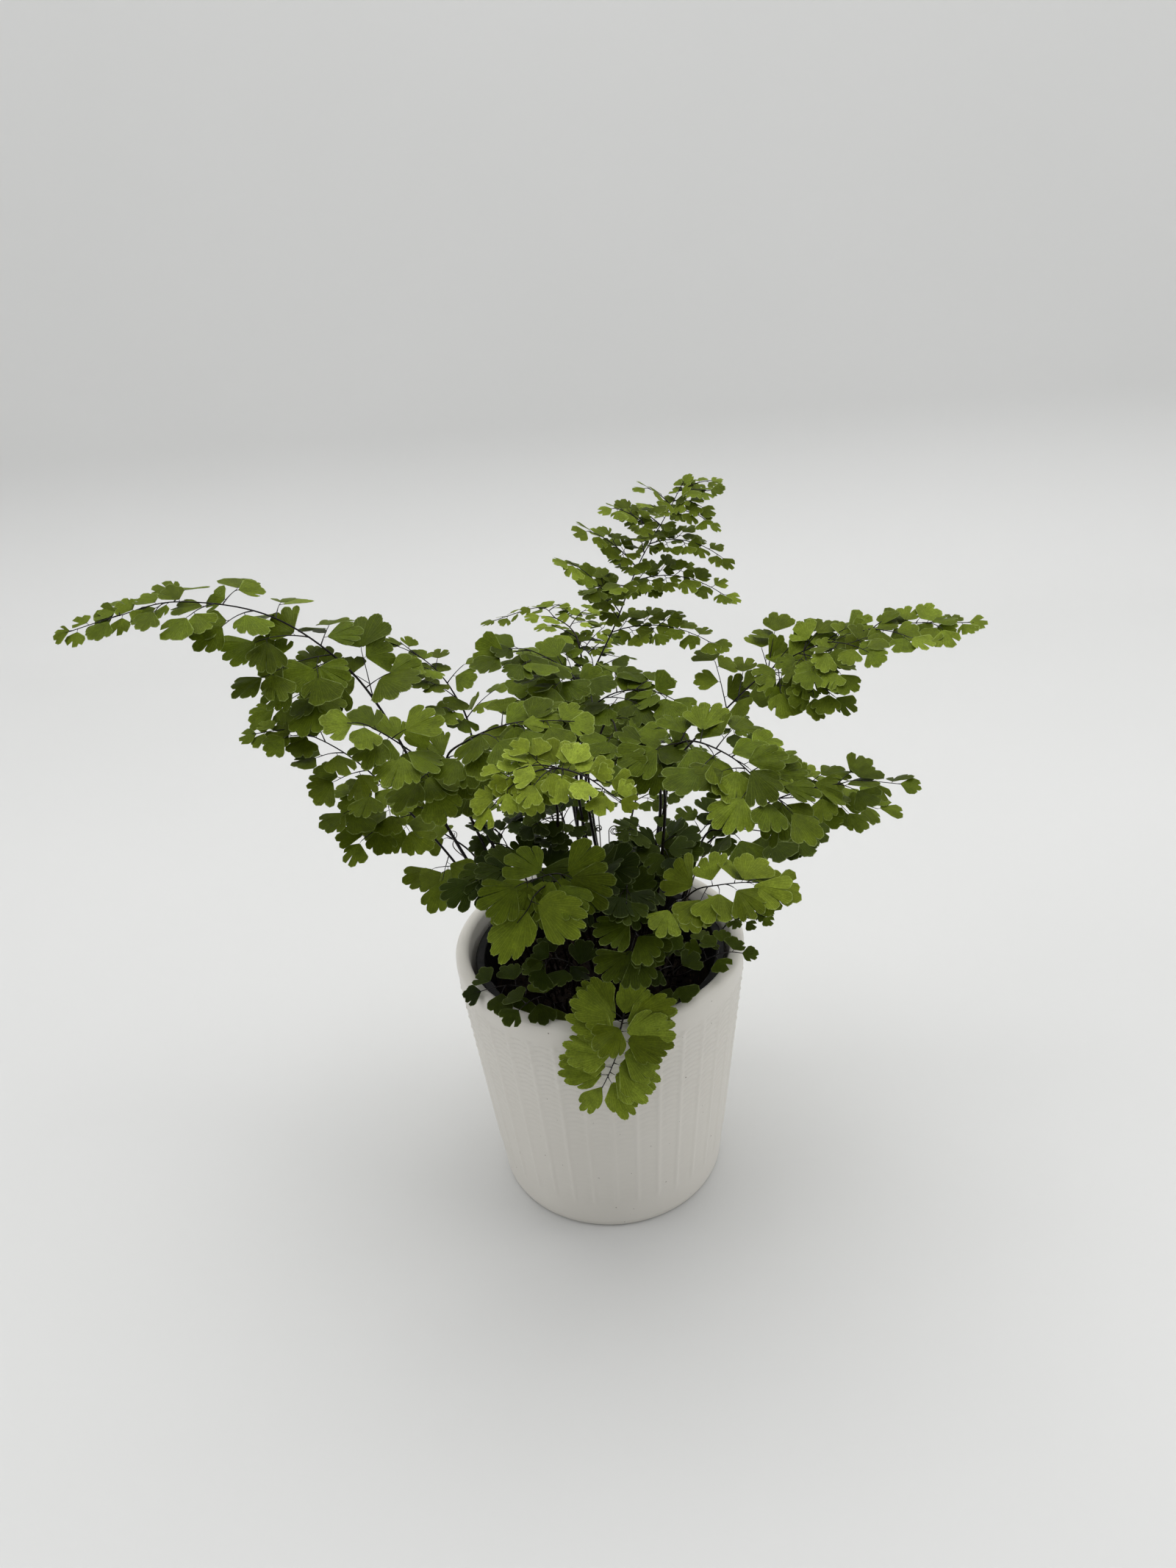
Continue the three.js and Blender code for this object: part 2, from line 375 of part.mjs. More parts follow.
/** A thin lobed leaf surface laid along a curve, turned to face a given way. */
function pinnaPlate(curve, facing, rollDegrees, share, leaf) {
  const length = curve.getLength() * share;
  const { leaflets, ofLength, more } = HALF_WIDTH;
  const outline = lobedOutline(length, Math.min(leaf * leaflets, length * ofLength + more) * share);
  const plate = new THREE.ExtrudeGeometry(outline, { depth: PLATE, bevelEnabled: false });
  const position = plate.attributes.position;
  const roll = THREE.MathUtils.degToRad(rollDegrees);
  const local = new THREE.Vector3();
  for (let i = 0; i < position.count; i += 1) {
    local.fromBufferAttribute(position, i);
    const along = local.x / curve.getLength();
    const at = curve.getPoint(Math.min(along, 1));
    const tangent = curve.getTangent(Math.min(along, 1));
    const side = facing.clone().cross(tangent).normalize().applyAxisAngle(tangent, roll);
    const normal = tangent.clone().cross(side);
    at.addScaledVector(tangent, Math.max(0, along - 1) * curve.getLength());
    at.addScaledVector(side, local.y);
    at.addScaledVector(normal, local.z - PLATE / 2);
    position.setXYZ(i, at.x, at.y, at.z);
  }
  return toSolid(plate);
}

// ---------------------------------------------------------------- pots, soil and crowns

function coverPot() {
  const { height, baseRadius, rimRadius, lip, floor } = COVER;
  const { foot, lipOuter, lipInner, innerFoot, footWall } = COVER_CORNERS;
  const innerTop = rimRadius - lip;
  const innerBase = baseRadius - footWall;
  return turned([
    [0, 0], [baseRadius - foot, 0], [baseRadius, foot],
    [rimRadius - 0.6, height - 5], [rimRadius, height - 2.5], [rimRadius - lipOuter, height - 0.5],
    [rimRadius - lip / 2, height], [innerTop + lipInner, height - 0.6], [innerTop, height - 3],
    [innerBase, floor + 2], [innerBase - innerFoot, floor], [0, floor]], COVER.sides);
}

const NURSERY_BOTTOM = COVER.floor + GAP;

function nurseryPot() {
  const { floorRadius, topRadius, lipRadius, top, lipDepth, wall } = NURSERY;
  const bottom = NURSERY_BOTTOM;
  return turned([
    [0, bottom], [floorRadius, bottom], [topRadius, top - lipDepth], [lipRadius, top - lipDepth],
    [lipRadius, top], [topRadius - wall, top], [floorRadius - wall, bottom + wall], [0, bottom + wall]],
  NURSERY.sides);
}

function pottingSoil() {
  const { floorRadius, topRadius, top, wall } = NURSERY;
  const bottom = NURSERY_BOTTOM + wall + GAP;
  const edge = SOIL_TOP - SOIL_EDGE.drop;
  const innerWallAt = (z) =>
    THREE.MathUtils.mapLinear(z, NURSERY_BOTTOM, top, floorRadius, topRadius) - wall - 2 * GAP;
  return turned([
    [0, bottom], [innerWallAt(bottom), bottom], [innerWallAt(edge), edge],
    [innerWallAt(edge) - SOIL_EDGE.width, SOIL_TOP], [0, SOIL_TOP]], NURSERY.sides);
}

function crown(halfX, halfY) {
  const height = CROWN_TOP - SOIL_TOP - GAP;
  return turned([[0, 0], [1, 0], [1, height * 0.45], [0.97, height], [0, height]], CROWN_SIDES)
    .scale(halfX, halfY, 1);
}

// ---------------------------------------------------------------- assembly

const fern = new THREE.Group();
const placed = []; // every solid placed so far: { owner, solid, box }

function addMesh(name, geometry, material, x = 0, y = 0, z = 0) {
  const mesh = new THREE.Mesh(geometry, material);
  mesh.name = name;
  mesh.position.set(x, y, z);
  fern.add(mesh);
  return mesh;
}

function boxOf(solid) {
  const { min, max } = solid.boundingBox();
  return new THREE.Box3(new THREE.Vector3(...min), new THREE.Vector3(...max));
}

function keep(owner, solid, isStem = false) {
  placed.push({ owner, solid, isStem, box: boxOf(solid) });
}

/** True where a solid clears all other pieces and crosses its own frond only at a branch's foot. */
function isClear(owner, solid) {
  const box = boxOf(solid).expandByScalar(GAP);
  return placed.filter((other) => box.intersectsBox(other.box)).every((other) => {
    if (other.owner !== owner) return solid.minGap(other.solid, GAP) > GAP * 0.99;
    return other.isStem || solid.intersect(other.solid).volume() < FOOT_CROSSING;
  });
}

const holders = [
  addMesh('cover_pot', coverPot(), GLAZE),
  addMesh('nursery_pot', nurseryPot(), BLACK_PLASTIC),
  addMesh('potting_soil', pottingSoil(), SOIL),
  ...Object.entries(CROWNS).map(([name, [x, y, halfX, halfY]]) =>
    addMesh(name, crown(halfX, halfY), RHIZOME, x, y, SOIL_TOP + GAP)),
];
for (const mesh of holders) {
  mesh.updateMatrixWorld();
  keep(mesh.name, toSolid(mesh.geometry.clone().applyMatrix4(mesh.matrixWorld)));
}

/** A stalk that ends in a flat coil, wound inwards from its outer radius. */
function crozier(stalk, coil) {
  const [x, y, z] = stalk[stalk.length - 1];
  const winding = [[x, y, z - 1]];
  const quarterTurns = 5;
  for (let i = 0; i <= quarterTurns; i += 1) {
    const turn = (Math.PI / 2) * i;
    const radius = coil * (1 - (0.55 * i) / quarterTurns);
    winding.push([x + coil - radius * Math.cos(turn), y, z + radius * Math.sin(turn)]);
  }
  return tube(route(stalk), SPRIG_RADIUS).add(tube(route(winding), SPRIG_RADIUS, COIL_STEP));
}

const stems = {};
for (const [name, { stem }] of Object.entries(FRONDS)) {
  stems[name] = tube(route(stem), STEM.radius);
  keep(name, stems[name], true);
}

for (const [name, { stalk, coil }] of Object.entries(CROZIERS)) {
  const solid = crozier(stalk, coil);
  keep(name, solid);
  addMesh(name, toGeometry(solid), YOUNG_STALK);
}

for (const [name, branches] of Object.entries(DRIED_STALKS)) {
  const solid = branches.map((points) => tube(route(points), SPRIG_RADIUS, 9)).reduce((a, b) => a.add(b));
  keep(name, solid);
  addMesh(name, toGeometry(solid), DRY_STALK);
}

/** The side branches of a frond, and its leafy end, as curves that start on the stem. */
function branchCurves(stem, pinnae) {
  const main = route(stem);
  const curves = pinnae.map(([share, tip, rise]) => {
    const start = main.getPointAt(Math.min(share, 0.98));
    const end = new THREE.Vector3(...tip);
    const middle = start.clone().lerp(end, 0.5);
    middle.z += rise;
    return new THREE.QuadraticBezierCurve3(start, middle, end);
  });
  const tipStart = main.getPointAt(TIP_START);
  const tipMiddle = main.getPointAt((1 + TIP_START) / 2);
  curves.push(new THREE.QuadraticBezierCurve3(tipStart, tipMiddle, main.getPointAt(1)));
  return curves;
}

/** The way a branch's leaves face: up, and to the front by a share that is less behind the stem. */
function faceWayOf(curve, facing) {
  const forward = curve.getPoint(0).y - curve.getPoint(1).y;
  const share = THREE.MathUtils.clamp(facing + FACING_PER_MM * forward, 0, 1);
  return new THREE.Vector3(0, 0, 1).lerp(new THREE.Vector3(0, -0.8, 0.6), share).normalize();
}

for (const [name, { stem, pinnae, leaf, facing }] of Object.entries(FRONDS)) {
  let solid = stems[name];
  for (const curve of branchCurves(stem, pinnae)) {
    const faceWay = faceWayOf(curve, facing);
    for (const [roll, share] of PLACINGS) {
      const plate = pinnaPlate(curve, faceWay, roll, share, leaf);
      if (isClear(name, plate)) {
        keep(name, plate);
        solid = solid.add(plate);
        break;
      }
    }
  }
  addMesh(name, toGeometry(solid), FROND_GREEN);
}

export default fern;
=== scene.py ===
import math
import random

import bmesh
import bpy
from mathutils import Matrix, Vector, noise


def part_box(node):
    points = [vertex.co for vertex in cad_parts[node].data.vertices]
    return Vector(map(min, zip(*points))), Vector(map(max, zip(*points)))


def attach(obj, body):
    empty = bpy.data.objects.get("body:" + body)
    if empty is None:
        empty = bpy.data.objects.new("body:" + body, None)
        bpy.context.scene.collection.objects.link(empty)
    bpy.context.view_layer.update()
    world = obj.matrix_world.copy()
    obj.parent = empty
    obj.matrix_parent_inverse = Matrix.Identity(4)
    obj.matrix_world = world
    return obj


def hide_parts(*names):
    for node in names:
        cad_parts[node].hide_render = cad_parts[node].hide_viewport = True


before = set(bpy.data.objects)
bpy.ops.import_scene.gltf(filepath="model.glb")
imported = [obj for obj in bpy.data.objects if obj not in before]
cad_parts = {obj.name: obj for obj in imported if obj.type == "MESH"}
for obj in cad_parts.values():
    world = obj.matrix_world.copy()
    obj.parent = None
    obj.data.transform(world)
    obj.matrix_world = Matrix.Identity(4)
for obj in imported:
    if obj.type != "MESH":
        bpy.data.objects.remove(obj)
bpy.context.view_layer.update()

MM = 0.001
UP = Vector((0, 0, 1))


def corners(node):
    """The lowest and highest corner of a CAD node, in millimetres."""
    return [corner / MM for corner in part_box(node)]


# ---------------------------------------------------------------- sizes, in millimetres

COVER_RIM_RADIUS, _, COVER_HEIGHT = corners("cover_pot")[1]
COVER_BASE_RADIUS = 46.8
COVER_LIP = 5.5
COVER_FLOOR = 6.5
COVER_WALL_AT_FOOT = 5.2
COVER_FOOT_ROUNDING, COVER_FLOOR_ROUNDING = 2.0, 3
COVER_WALL_TOP = COVER_HEIGHT - 5  # where the wall's slope reaches the rim's radius
COVER_INNER_TOP = COVER_HEIGHT - 6.5
PLAIN_WALL_BELOW_WEAVE, PLAIN_WALL_ABOVE_WEAVE = (2.4, 3.5, 5, 7, 9.5), (104.2, 105.8, 107.5)

WEAVE_BOTTOM, WEAVE_TOP = 12.0, 103.0
WEAVE_RIBS = 36
WEAVE_ROW = 2.5
WEAVE_RELIEF = 0.46
WEAVE_RUN_IN, WEAVE_RUN_OUT = 6, 2  # bands at its foot and top in which the relief grows and fades
ROWS_FAINT_BELOW, ROWS_FULL_ABOVE = 42, 88
RIB_HALF_WIDTH = 0.08  # as a share of the distance between ribs
STEPS_PER_RIB, STEPS_UP_WEAVE = 12, 150

NURSERY_BOTTOM, NURSERY_TOP = (corner.z for corner in corners("nursery_pot"))
NURSERY_LIP_RADIUS = corners("nursery_pot")[1].x
NURSERY_FLOOR_RADIUS, NURSERY_TOP_RADIUS = 36.0, 47.6
NURSERY_WALL, NURSERY_LIP_DEPTH = 1.2, 3.0
NURSERY_RINGS = (20, 40, 60, 80, 92)

SOIL_BOTTOM, SOIL_TOP = (corner.z for corner in corners("potting_soil"))
SOIL_GAP = 0.6  # between the soil and the nursery pot
SOIL_EDGE_DROP = 2.5
SOIL_CRUMBS = 360
OLD_STALK_STUBS, FINE_ROOTS = 16, 60  # on each crown
CROWNS = ("crown_left", "crown_centre", "crown_right", "crown_front_left", "crown_front_right")

LEAF_PITCH = 0.42  # distance from one leaflet to the next along a branch, in leaflet lengths
FIRST_LEAFLET, LAST_LEAFLET = 0.36, 0.20  # their distances from a branch's foot and tip, the same way
TIP_START = 0.84  # where the leafy end of a stem begins, as a share of its length
LEVELLING = 0.5  # how far a leaflet turns from its branch's direction into the frond's own plane, 0 to 1
FACING_PER_MM = 0.008  # added to a branch's facing for each millimetre that it comes forward
TWIGGY_REACH = 2.1  # a branch that reaches further than this many "leaf" lengths carries side twigs
TWIGS_UP_TO = 0.45  # how far along such a branch they go, as a share of it
RIM_WIDTH = 0.5  # pale rim of a leaflet
LEAFLET_THICKNESS = 0.014  # as a share of its length
LEAFLET_FOOT = 0.035  # radius at which the blade begins, as a share of its length

# radii at foot and tip
BRANCH_RADII, TWIG_RADII, STALKLET_RADII = (0.25, 0.14), (0.15, 0.11), (0.13, 0.10)
STEM_FOOT_RADIUS, STEM_TIP_RADIUS = 0.45, 0.15
STEM_RADIUS_PER_METRE = 1.6  # added at its foot for each metre of its length
STALK_TAPER = 1.7  # 1 thins a stalk evenly; more keeps its upper part thin

# The fronds. leaf is the room for a leaflet in millimetres, and share is the leaflet's own length in it,
# where that isn't the usual. taper is how much shorter the last branch's leaflets are than the first's,
# width is their width as a share of the usual, and cut says that they are deeply cut. facing is how far
# they face the front, from 0 to 1, and tone goes from 0, dark, to 1, bright: the leaves' own green, with
# painted shade on the fronds deep inside the plant and painted light on the fronds that catch the light.
# stem has the points that the stem runs through, and branches has the side branches, each with its place
# on the stem as a share of the stem's length, its tip, and how far its middle rises.
FRONDS = {
    "long_left": dict(leaf=13, share=0.9, taper=0.55, facing=0.4, painted_light_and_tone=0.54,
        stem=[(-27, 4, 98), (-46, 2, 143), (-58, -2, 178), (-71, -8, 220), (-83, -13, 243),
            (-102, -18, 261), (-127, -24, 269), (-145, -28, 267), (-161, -32, 264)],
        branches=[(0.55, (-79, 10, 244), 6), (0.57, (-59, 0, 232), 3), (0.63, (-102, -25, 234), 4),
            (0.66, (-85, 8, 249), 2), (0.68, (-110, -30, 253), 5), (0.73, (-101, 5, 257), 3),
            (0.76, (-115, -36, 260), 4), (0.8, (-112, 0, 265), 2), (0.81, (-124, -38, 265), 3),
            (0.86, (-126, -10, 269), 2), (0.87, (-133, -36, 266), 3), (0.93, (-148, -18, 266), 2),
            (0.93, (-148, -36, 266), 2), (0.64, (-110, -32, 240), 5), (0.6, (-112, -18, 222), 5),
            (0.6, (-96, -8, 223), 3)]),
    "second_left": dict(leaf=12, share=0.95, taper=0.4, facing=0.38, painted_light_and_tone=0.66,
        stem=[(-31, -2, 98), (-49, -6, 147), (-66, -12, 181), (-81, -18, 206), (-97, -24, 221),
            (-111, -28, 223)],
        branches=[(0.45, (-60, -2, 165), 2), (0.37, (-66, -20, 158), 3), (0.41, (-56, -30, 156), 2),
            (0.56, (-86, -35, 177), 6), (0.61, (-90, -32, 189), 6), (0.72, (-90, -34, 203), 3),
            (0.79, (-94, -34, 213), 3), (0.84, (-95, -12, 223), 2), (0.87, (-103, -34, 223), 2),
            (0.67, (-76, -36, 198), 3)]),
    "left_front": dict(leaf=15, share=0.9, facing=0.5, painted_light_and_tone=0.62,
        stem=[(-24, -5, 98), (-43, -22, 183), (-49, -36, 206), (-58, -48, 224), (-67, -56, 236),
            (-72, -60, 239)],
        branches=[(0.74, (-56, -60, 214), 3), (0.8, (-48, -55, 204), 3), (0.85, (-57, -64, 224), 3),
            (0.89, (-50, -50, 231), 3), (0.92, (-64, -64, 231), 2), (0.63, (-36, -48, 206), 2),
            (0.71, (-54, -42, 225), 3)]),
    "left_to_middle": dict(leaf=14, share=0.88, facing=0.45, painted_light_and_tone=0.55,
        stem=[(-19, -3, 98), (-40, -20, 181), (-47, -34, 210), (-37, -48, 225), (-23, -60, 235),
            (-12, -66, 238), (-3, -70, 239)],
        branches=[(0.66, (-36, -60, 222), 4), (0.77, (-31, -66, 225), 4), (0.8, (-24, -72, 233), 3),
            (0.86, (-25, -46, 235), 2), (0.89, (-16, -76, 236), 3), (0.93, (-13, -54, 238), 2),
            (0.95, (-10, -78, 239), 2), (0.58, (-52, -40, 212), 2), (0.61, (-34, -52, 213), 3),
            (0.65, (-51, -30, 216), 3)]),
    "back_left": dict(leaf=11, share=0.88, facing=0.2, painted_light_and_tone=0.6,
        stem=[(-25, 10, 98), (-42, 24, 160), (-45, 32, 192), (-50, 35, 206), (-56, 36, 216),
            (-64, 36, 224), (-68, 36, 228)],
        branches=[(0.71, (-56, 20, 208), 3), (0.72, (-29, 30, 210), 4), (0.78, (-61, 22, 218), 3),
            (0.83, (-40, 40, 218), 3), (0.86, (-63, 25, 222), 2), (0.88, (-54, 45, 220), 2),
            (0.93, (-73, 28, 231), 2)]),
    "left_low_back": dict(leaf=13, share=0.92, facing=0.4, painted_light_and_tone=0.66,
        stem=[(-32, 6, 98), (-45, 14, 140), (-60, 18, 155), (-63, 20, 164), (-66, 22, 173)],
        branches=[(0.69, (-63, 10, 156), 2), (0.8, (-48, 24, 162), 3), (0.86, (-73, 12, 172), 2),
            (0.93, (-58, 28, 172), 2)]),
    "tall_top": dict(leaf=10, share=0.74, taper=0.35, facing=0.28, painted_light_and_tone=0.64,
        stem=[(0, 13, 98), (-7, 18, 167), (-7, 20, 186), (2, 26, 209), (14, 33, 230), (24, 38, 251),
            (35, 41, 268), (42, 42, 280)],
        branches=[(0.69, (53, 20, 222), 12), (0.73, (-5, 20, 261), 8), (0.79, (57, 22, 240), 12),
            (0.82, (3, 24, 270), 6), (0.87, (56, 28, 253), 9), (0.89, (13, 28, 276), 5),
            (0.93, (51, 30, 266), 7), (0.91, (21, 52, 269), 3), (0.96, (49, 34, 271), 3),
            (0.95, (26, 34, 281), 3), (0.99, (52, 34, 277), 2), (1, (54, 44, 279), 2),
            (0.72, (5, 28, 247), 3), (0.78, (15, 16, 250), 2), (0.85, (24, 26, 266), 2),
            (0.93, (27, 28, 276), 2)]),
    "centre_left_top": dict(leaf=14, share=0.88, facing=0.22, painted_light_and_tone=0.38,
        stem=[(-7, 10, 98), (-5, 8, 172), (-3, 6, 198), (-1, 2, 215), (-3, -4, 226), (-9, -12, 235),
            (-17, -20, 243), (-23, -28, 247)],
        branches=[(0.67, (-23, -10, 226), 6), (0.64, (-23, -22, 224), 6), (0.7, (-7, 20, 231), 3),
            (0.74, (-18, 8, 228), 2), (0.77, (-10, -40, 236), 3), (0.82, (-11, -6, 240), 2),
            (0.88, (-21, -38, 243), 3), (0.93, (-29, -36, 245), 3), (0.59, (-13, -10, 211), 3),
            (0.61, (9, 14, 198), 3), (0.64, (-9, 20, 210), 4)]),
    "rear_horizontal": dict(leaf=9, facing=0.1, painted_light_and_tone=0.7,
        stem=[(-4, 17, 98), (-3, 34, 165), (1, 50, 193), (0, 62, 211), (-3, 70, 216), (-9, 78, 218),
            (-16, 84, 221), (-37, 90, 214)],
        branches=[(0.68, (13, 80, 213), 3), (0.72, (-15, 66, 220), 3), (0.76, (5, 92, 216), 3),
            (0.81, (-18, 74, 220), 2), (0.84, (-5, 96, 217), 2)]),
    "rear_middle": dict(leaf=11, share=0.84, facing=0.2, painted_light_and_tone=0.3,
        stem=[(5, 15, 98), (0, 30, 170), (4, 44, 192), (5, 54, 206), (3, 62, 210)],
        branches=[(0.82, (18, 54, 201), 4), (0.87, (-10, 50, 216), 3), (0.9, (21, 66, 204), 3),
            (0.96, (-4, 68, 213), 2), (0.98, (15, 74, 210), 2), (0.7, (13, 44, 187), 4),
            (0.72, (-8, 40, 195), 4)]),
    "centre_right_top": dict(leaf=13, share=0.88, facing=0.22, painted_light_and_tone=0.42,
        stem=[(5, 6, 98), (-4, 2, 172), (-2, 0, 201), (3, -4, 213), (12, -12, 222), (24, -20, 225),
            (32, -26, 223)],
        branches=[(0.71, (14, -24, 215), 4), (0.75, (2, 12, 217), 3), (0.8, (21, -34, 225), 3),
            (0.84, (12, 6, 223), 3), (0.89, (27, -6, 224), 2), (0.94, (29, -36, 226), 2),
            (0.62, (8, -14, 201), 3), (0.64, (-7, 8, 202), 3)]),
    "centre_right_low": dict(leaf=14, facing=0.35, painted_light_and_tone=0.38,
        stem=[(8, 1, 98), (-1, -10, 182), (5, -22, 211), (9, -30, 220), (11, -42, 219), (17, -52, 218),
            (21, -58, 215)],
        branches=[(0.78, (18, -38, 222), 3), (0.86, (6, -58, 224), 2), (0.88, (21, -46, 221), 2),
            (0.91, (7, -68, 220), 3), (0.95, (26, -58, 221), 2)]),
    "arching_middle": dict(leaf=10, share=0.82, facing=0.68, painted_light_and_tone=1,
        stem=[(-4, 1, 98), (-12, -6, 155), (-12, -16, 180), (-12, -58, 215), (-10, -90, 234),
            (-6, -97, 237), (0, -101, 236), (6, -104, 232), (9, -105, 230)],
        branches=[(0.93, (4, -99, 237), 1), (0.94, (-1, -105, 234), 1), (0.95, (9, -100, 232), 1),
            (0.97, (4, -107, 232), 1), (0.9, (-7, -103, 235), 1), (0.91, (-2, -94, 239), 1),
            (0.89, (-10, -92, 239), 1), (0.89, (-12, -101, 234), 1), (0.9, (-5, -93, 238), 1),
            (0.89, (-30, -103, 226), 9), (0.89, (-26, -97, 234), 6), (0.89, (-17, -104, 233), 4),
            (0.89, (-14, -94, 237), 2)]),
    "dark_middle": dict(leaf=10, facing=0.3, painted_light_and_tone=0.08,
        stem=[(-9, 5, 98), (-10, 4, 152), (-11, 0, 168), (-16, -8, 179), (-21, -14, 184)],
        branches=[(0.72, (-28, -10, 170), 3), (0.78, (-7, -4, 177), 2), (0.9, (-16, -18, 190), 2),
            (0.94, (-29, -22, 188), 2), (0.65, (-3, 2, 166), 3), (0.62, (-2, 6, 157), 2),
            (0.75, (-24, -14, 170), 3), (0.63, (-17, -10, 163), 2), (0.85, (-28, -4, 173), 2),
            (0.72, (-5, 6, 170), 3)]),
    "long_right": dict(leaf=14, share=0.72, taper=0.25, facing=0.35, painted_light_and_tone=0.6,
        stem=[(16, 8, 98), (26, 6, 158), (28, 8, 176), (38, 10, 188), (51, 10, 201), (67, 8, 217),
            (85, 4, 228), (109, -2, 236), (135, -10, 238)],
        branches=[(0.55, (49, 26, 221), 4), (0.56, (64, 2, 211), 3), (0.58, (62, 24, 214), 3),
            (0.65, (73, 20, 232), 4), (0.64, (90, -20, 214), 10), (0.72, (85, 14, 232), 2),
            (0.71, (90, -22, 225), 4), (0.78, (95, 8, 234), 2), (0.76, (98, -24, 234), 3),
            (0.83, (113, -22, 237), 3), (0.84, (111, 4, 236), 2), (0.91, (121, -2, 239), 2),
            (0.92, (123, -20, 239), 2), (0.67, (69, -12, 214), 3), (0.72, (80, -18, 213), 4),
            (0.65, (65, 18, 227), 3), (0.66, (81, 12, 228), 3), (0.72, (89, 8, 233), 3),
            (0.76, (99, 2, 235), 3), (0.65, (73, -2, 216), 2)]),
    "right_big_leaf": dict(leaf=14, share=0.95, facing=0.48, painted_light_and_tone=0.5,
        stem=[(20, -2, 98), (26, -26, 179), (24, -46, 210), (31, -60, 225), (43, -70, 224), (53, -78, 216),
            (60, -82, 211)],
        branches=[(0.76, (15, -64, 221), 3), (0.78, (28, -50, 226), 2), (0.81, (38, -52, 228), 2),
            (0.84, (50, -54, 228), 2), (0.87, (56, -62, 223), 2), (0.85, (29, -82, 221), 3),
            (0.9, (35, -84, 225), 2), (0.93, (41, -92, 218), 2), (0.91, (58, -66, 218), 2),
            (0.94, (64, -78, 214), 2), (0.96, (62, -90, 208), 2), (0.73, (19, -66, 215), 2),
            (0.69, (13, -52, 222), 3), (0.82, (40, -78, 223), 2), (0.88, (50, -86, 223), 2),
            (0.95, (52, -92, 214), 2), (0.78, (32, -74, 225), 2), (0.93, (62, -72, 217), 2)]),
    "right_far": dict(leaf=15, share=0.84, facing=0.4, painted_light_and_tone=0.58,
        stem=[(26, 5, 98), (38, 4, 136), (44, 6, 147), (63, 8, 160), (81, 8, 167), (95, 6, 170),
            (102, 4, 172), (119, 0, 171)],
        branches=[(0.68, (78, 16, 173), 2), (0.71, (95, 14, 173), 2), (0.75, (86, -10, 169), 3),
            (0.81, (105, 14, 172), 2), (0.81, (102, -10, 172), 2), (0.64, (120, 16, 149), 6)]),
    "right_under": dict(leaf=14, share=0.9, facing=0.4, painted_light_and_tone=0.2,
        stem=[(28, -3, 98), (40, -8, 155), (49, -14, 165), (62, -22, 168), (73, -28, 168)],
        branches=[(0.68, (50, -4, 167), 2), (0.73, (55, -32, 166), 3), (0.79, (58, -6, 162), 2),
            (0.88, (64, -38, 168), 2), (0.91, (81, -20, 166), 3), (0.97, (74, -34, 167), 1)]),
    "right_back": dict(leaf=11, facing=0.2, painted_light_and_tone=0.3,
        stem=[(20, 13, 98), (30, 26, 156), (38, 40, 175), (47, 50, 181), (62, 56, 174), (77, 60, 163)],
        branches=[(0.59, (31, 44, 182), 3), (0.66, (34, 56, 181), 3), (0.73, (59, 64, 178), 2),
            (0.79, (67, 64, 174), 2), (0.86, (61, 46, 171), 2)]),
    "right_low_front": dict(leaf=14, share=0.97, width=1.12, facing=0.5, painted_light_and_tone=0.85,
        stem=[(24, -9, 98), (27, -26, 139), (31, -38, 152), (35, -46, 161), (41, -52, 166), (50, -56, 169),
            (61, -58, 169)],
        branches=[(0.57, (21, -56, 157), 2), (0.7, (29, -42, 161), 2), (0.76, (32, -66, 164), 2),
            (0.78, (40, -44, 165), 2), (0.83, (49, -66, 169), 2), (0.86, (49, -46, 167), 2),
            (0.9, (59, -50, 167), 1), (0.9, (58, -62, 169), 1), (0.8, (41, -66, 168), 2)]),
    "right_inner": dict(leaf=11, facing=0.3, painted_light_and_tone=0.1,
        stem=[(14, 2, 98), (21, -2, 143), (20, -6, 159), (17, -10, 168)],
        branches=[(0.73, (30, -4, 154), 2), (0.71, (10, -16, 163), 2), (0.84, (28, 2, 160), 2),
            (0.89, (12, -18, 171), 1)]),
    "right_rim_sprig": dict(leaf=6, facing=0.5, painted_light_and_tone=0.35,
        stem=[(28, -8, 98), (41, -16, 114), (48, -16, 123), (54, -14, 127), (65, -12, 126)],
        branches=[(0.64, (53, -8, 124), 1), (0.74, (57, -20, 127), 1), (0.81, (62, -8, 126), 1),
            (0.89, (64, -18, 127), 1)]),
    "right_rim_low": dict(leaf=10, facing=0.5, painted_light_and_tone=0.25,
        stem=[(25, -12, 98), (32, -26, 110), (41, -28, 118), (48, -28, 120), (54, -28, 119)],
        branches=[(0.55, (32, -20, 116), 1), (0.67, (38, -14, 118), 2), (0.74, (45, -34, 120), 1),
            (0.77, (47, -20, 121), 1)]),
    "front_hanging": dict(leaf=20, share=0.9, width=0.58, facing=0.95, painted_light_and_tone=0.8,
        stem=[(8, -24, 98), (8, -40, 112), (7, -54, 116), (5, -61, 113), (4, -64, 108), (1, -65, 100),
            (-2, -65, 93), (-4, -65, 89)],
        branches=[(0.55, (-6, -58, 125), 3), (0.55, (9, -55, 122), 3), (0.54, (20, -61, 118), 4),
            (0.57, (-4, -61, 119), 2), (0.58, (14, -61, 115), 2), (0.62, (-7, -63, 116), 2),
            (0.62, (14, -64, 112), 2), (0.68, (-4, -65, 112), 2), (0.66, (16, -65, 105), 2),
            (0.75, (-6, -66, 107), 2), (0.72, (13, -67, 101), 2), (0.82, (-6, -66, 101), 2),
            (0.79, (9, -67, 97), 2), (0.87, (-7, -67, 97), 2), (0.85, (5, -67, 93), 2),
            (0.88, (2, -67, 88), 2), (0.59, (3, -66, 115), 2)]),
    "front_left_big": dict(leaf=23, share=0.95, taper=-0.05, width=0.62, facing=0.9, painted_light_and_tone=0.75,
        stem=[(-11, -17, 98), (-12, -30, 149), (-13, -40, 164), (-17, -48, 168), (-21, -54, 168),
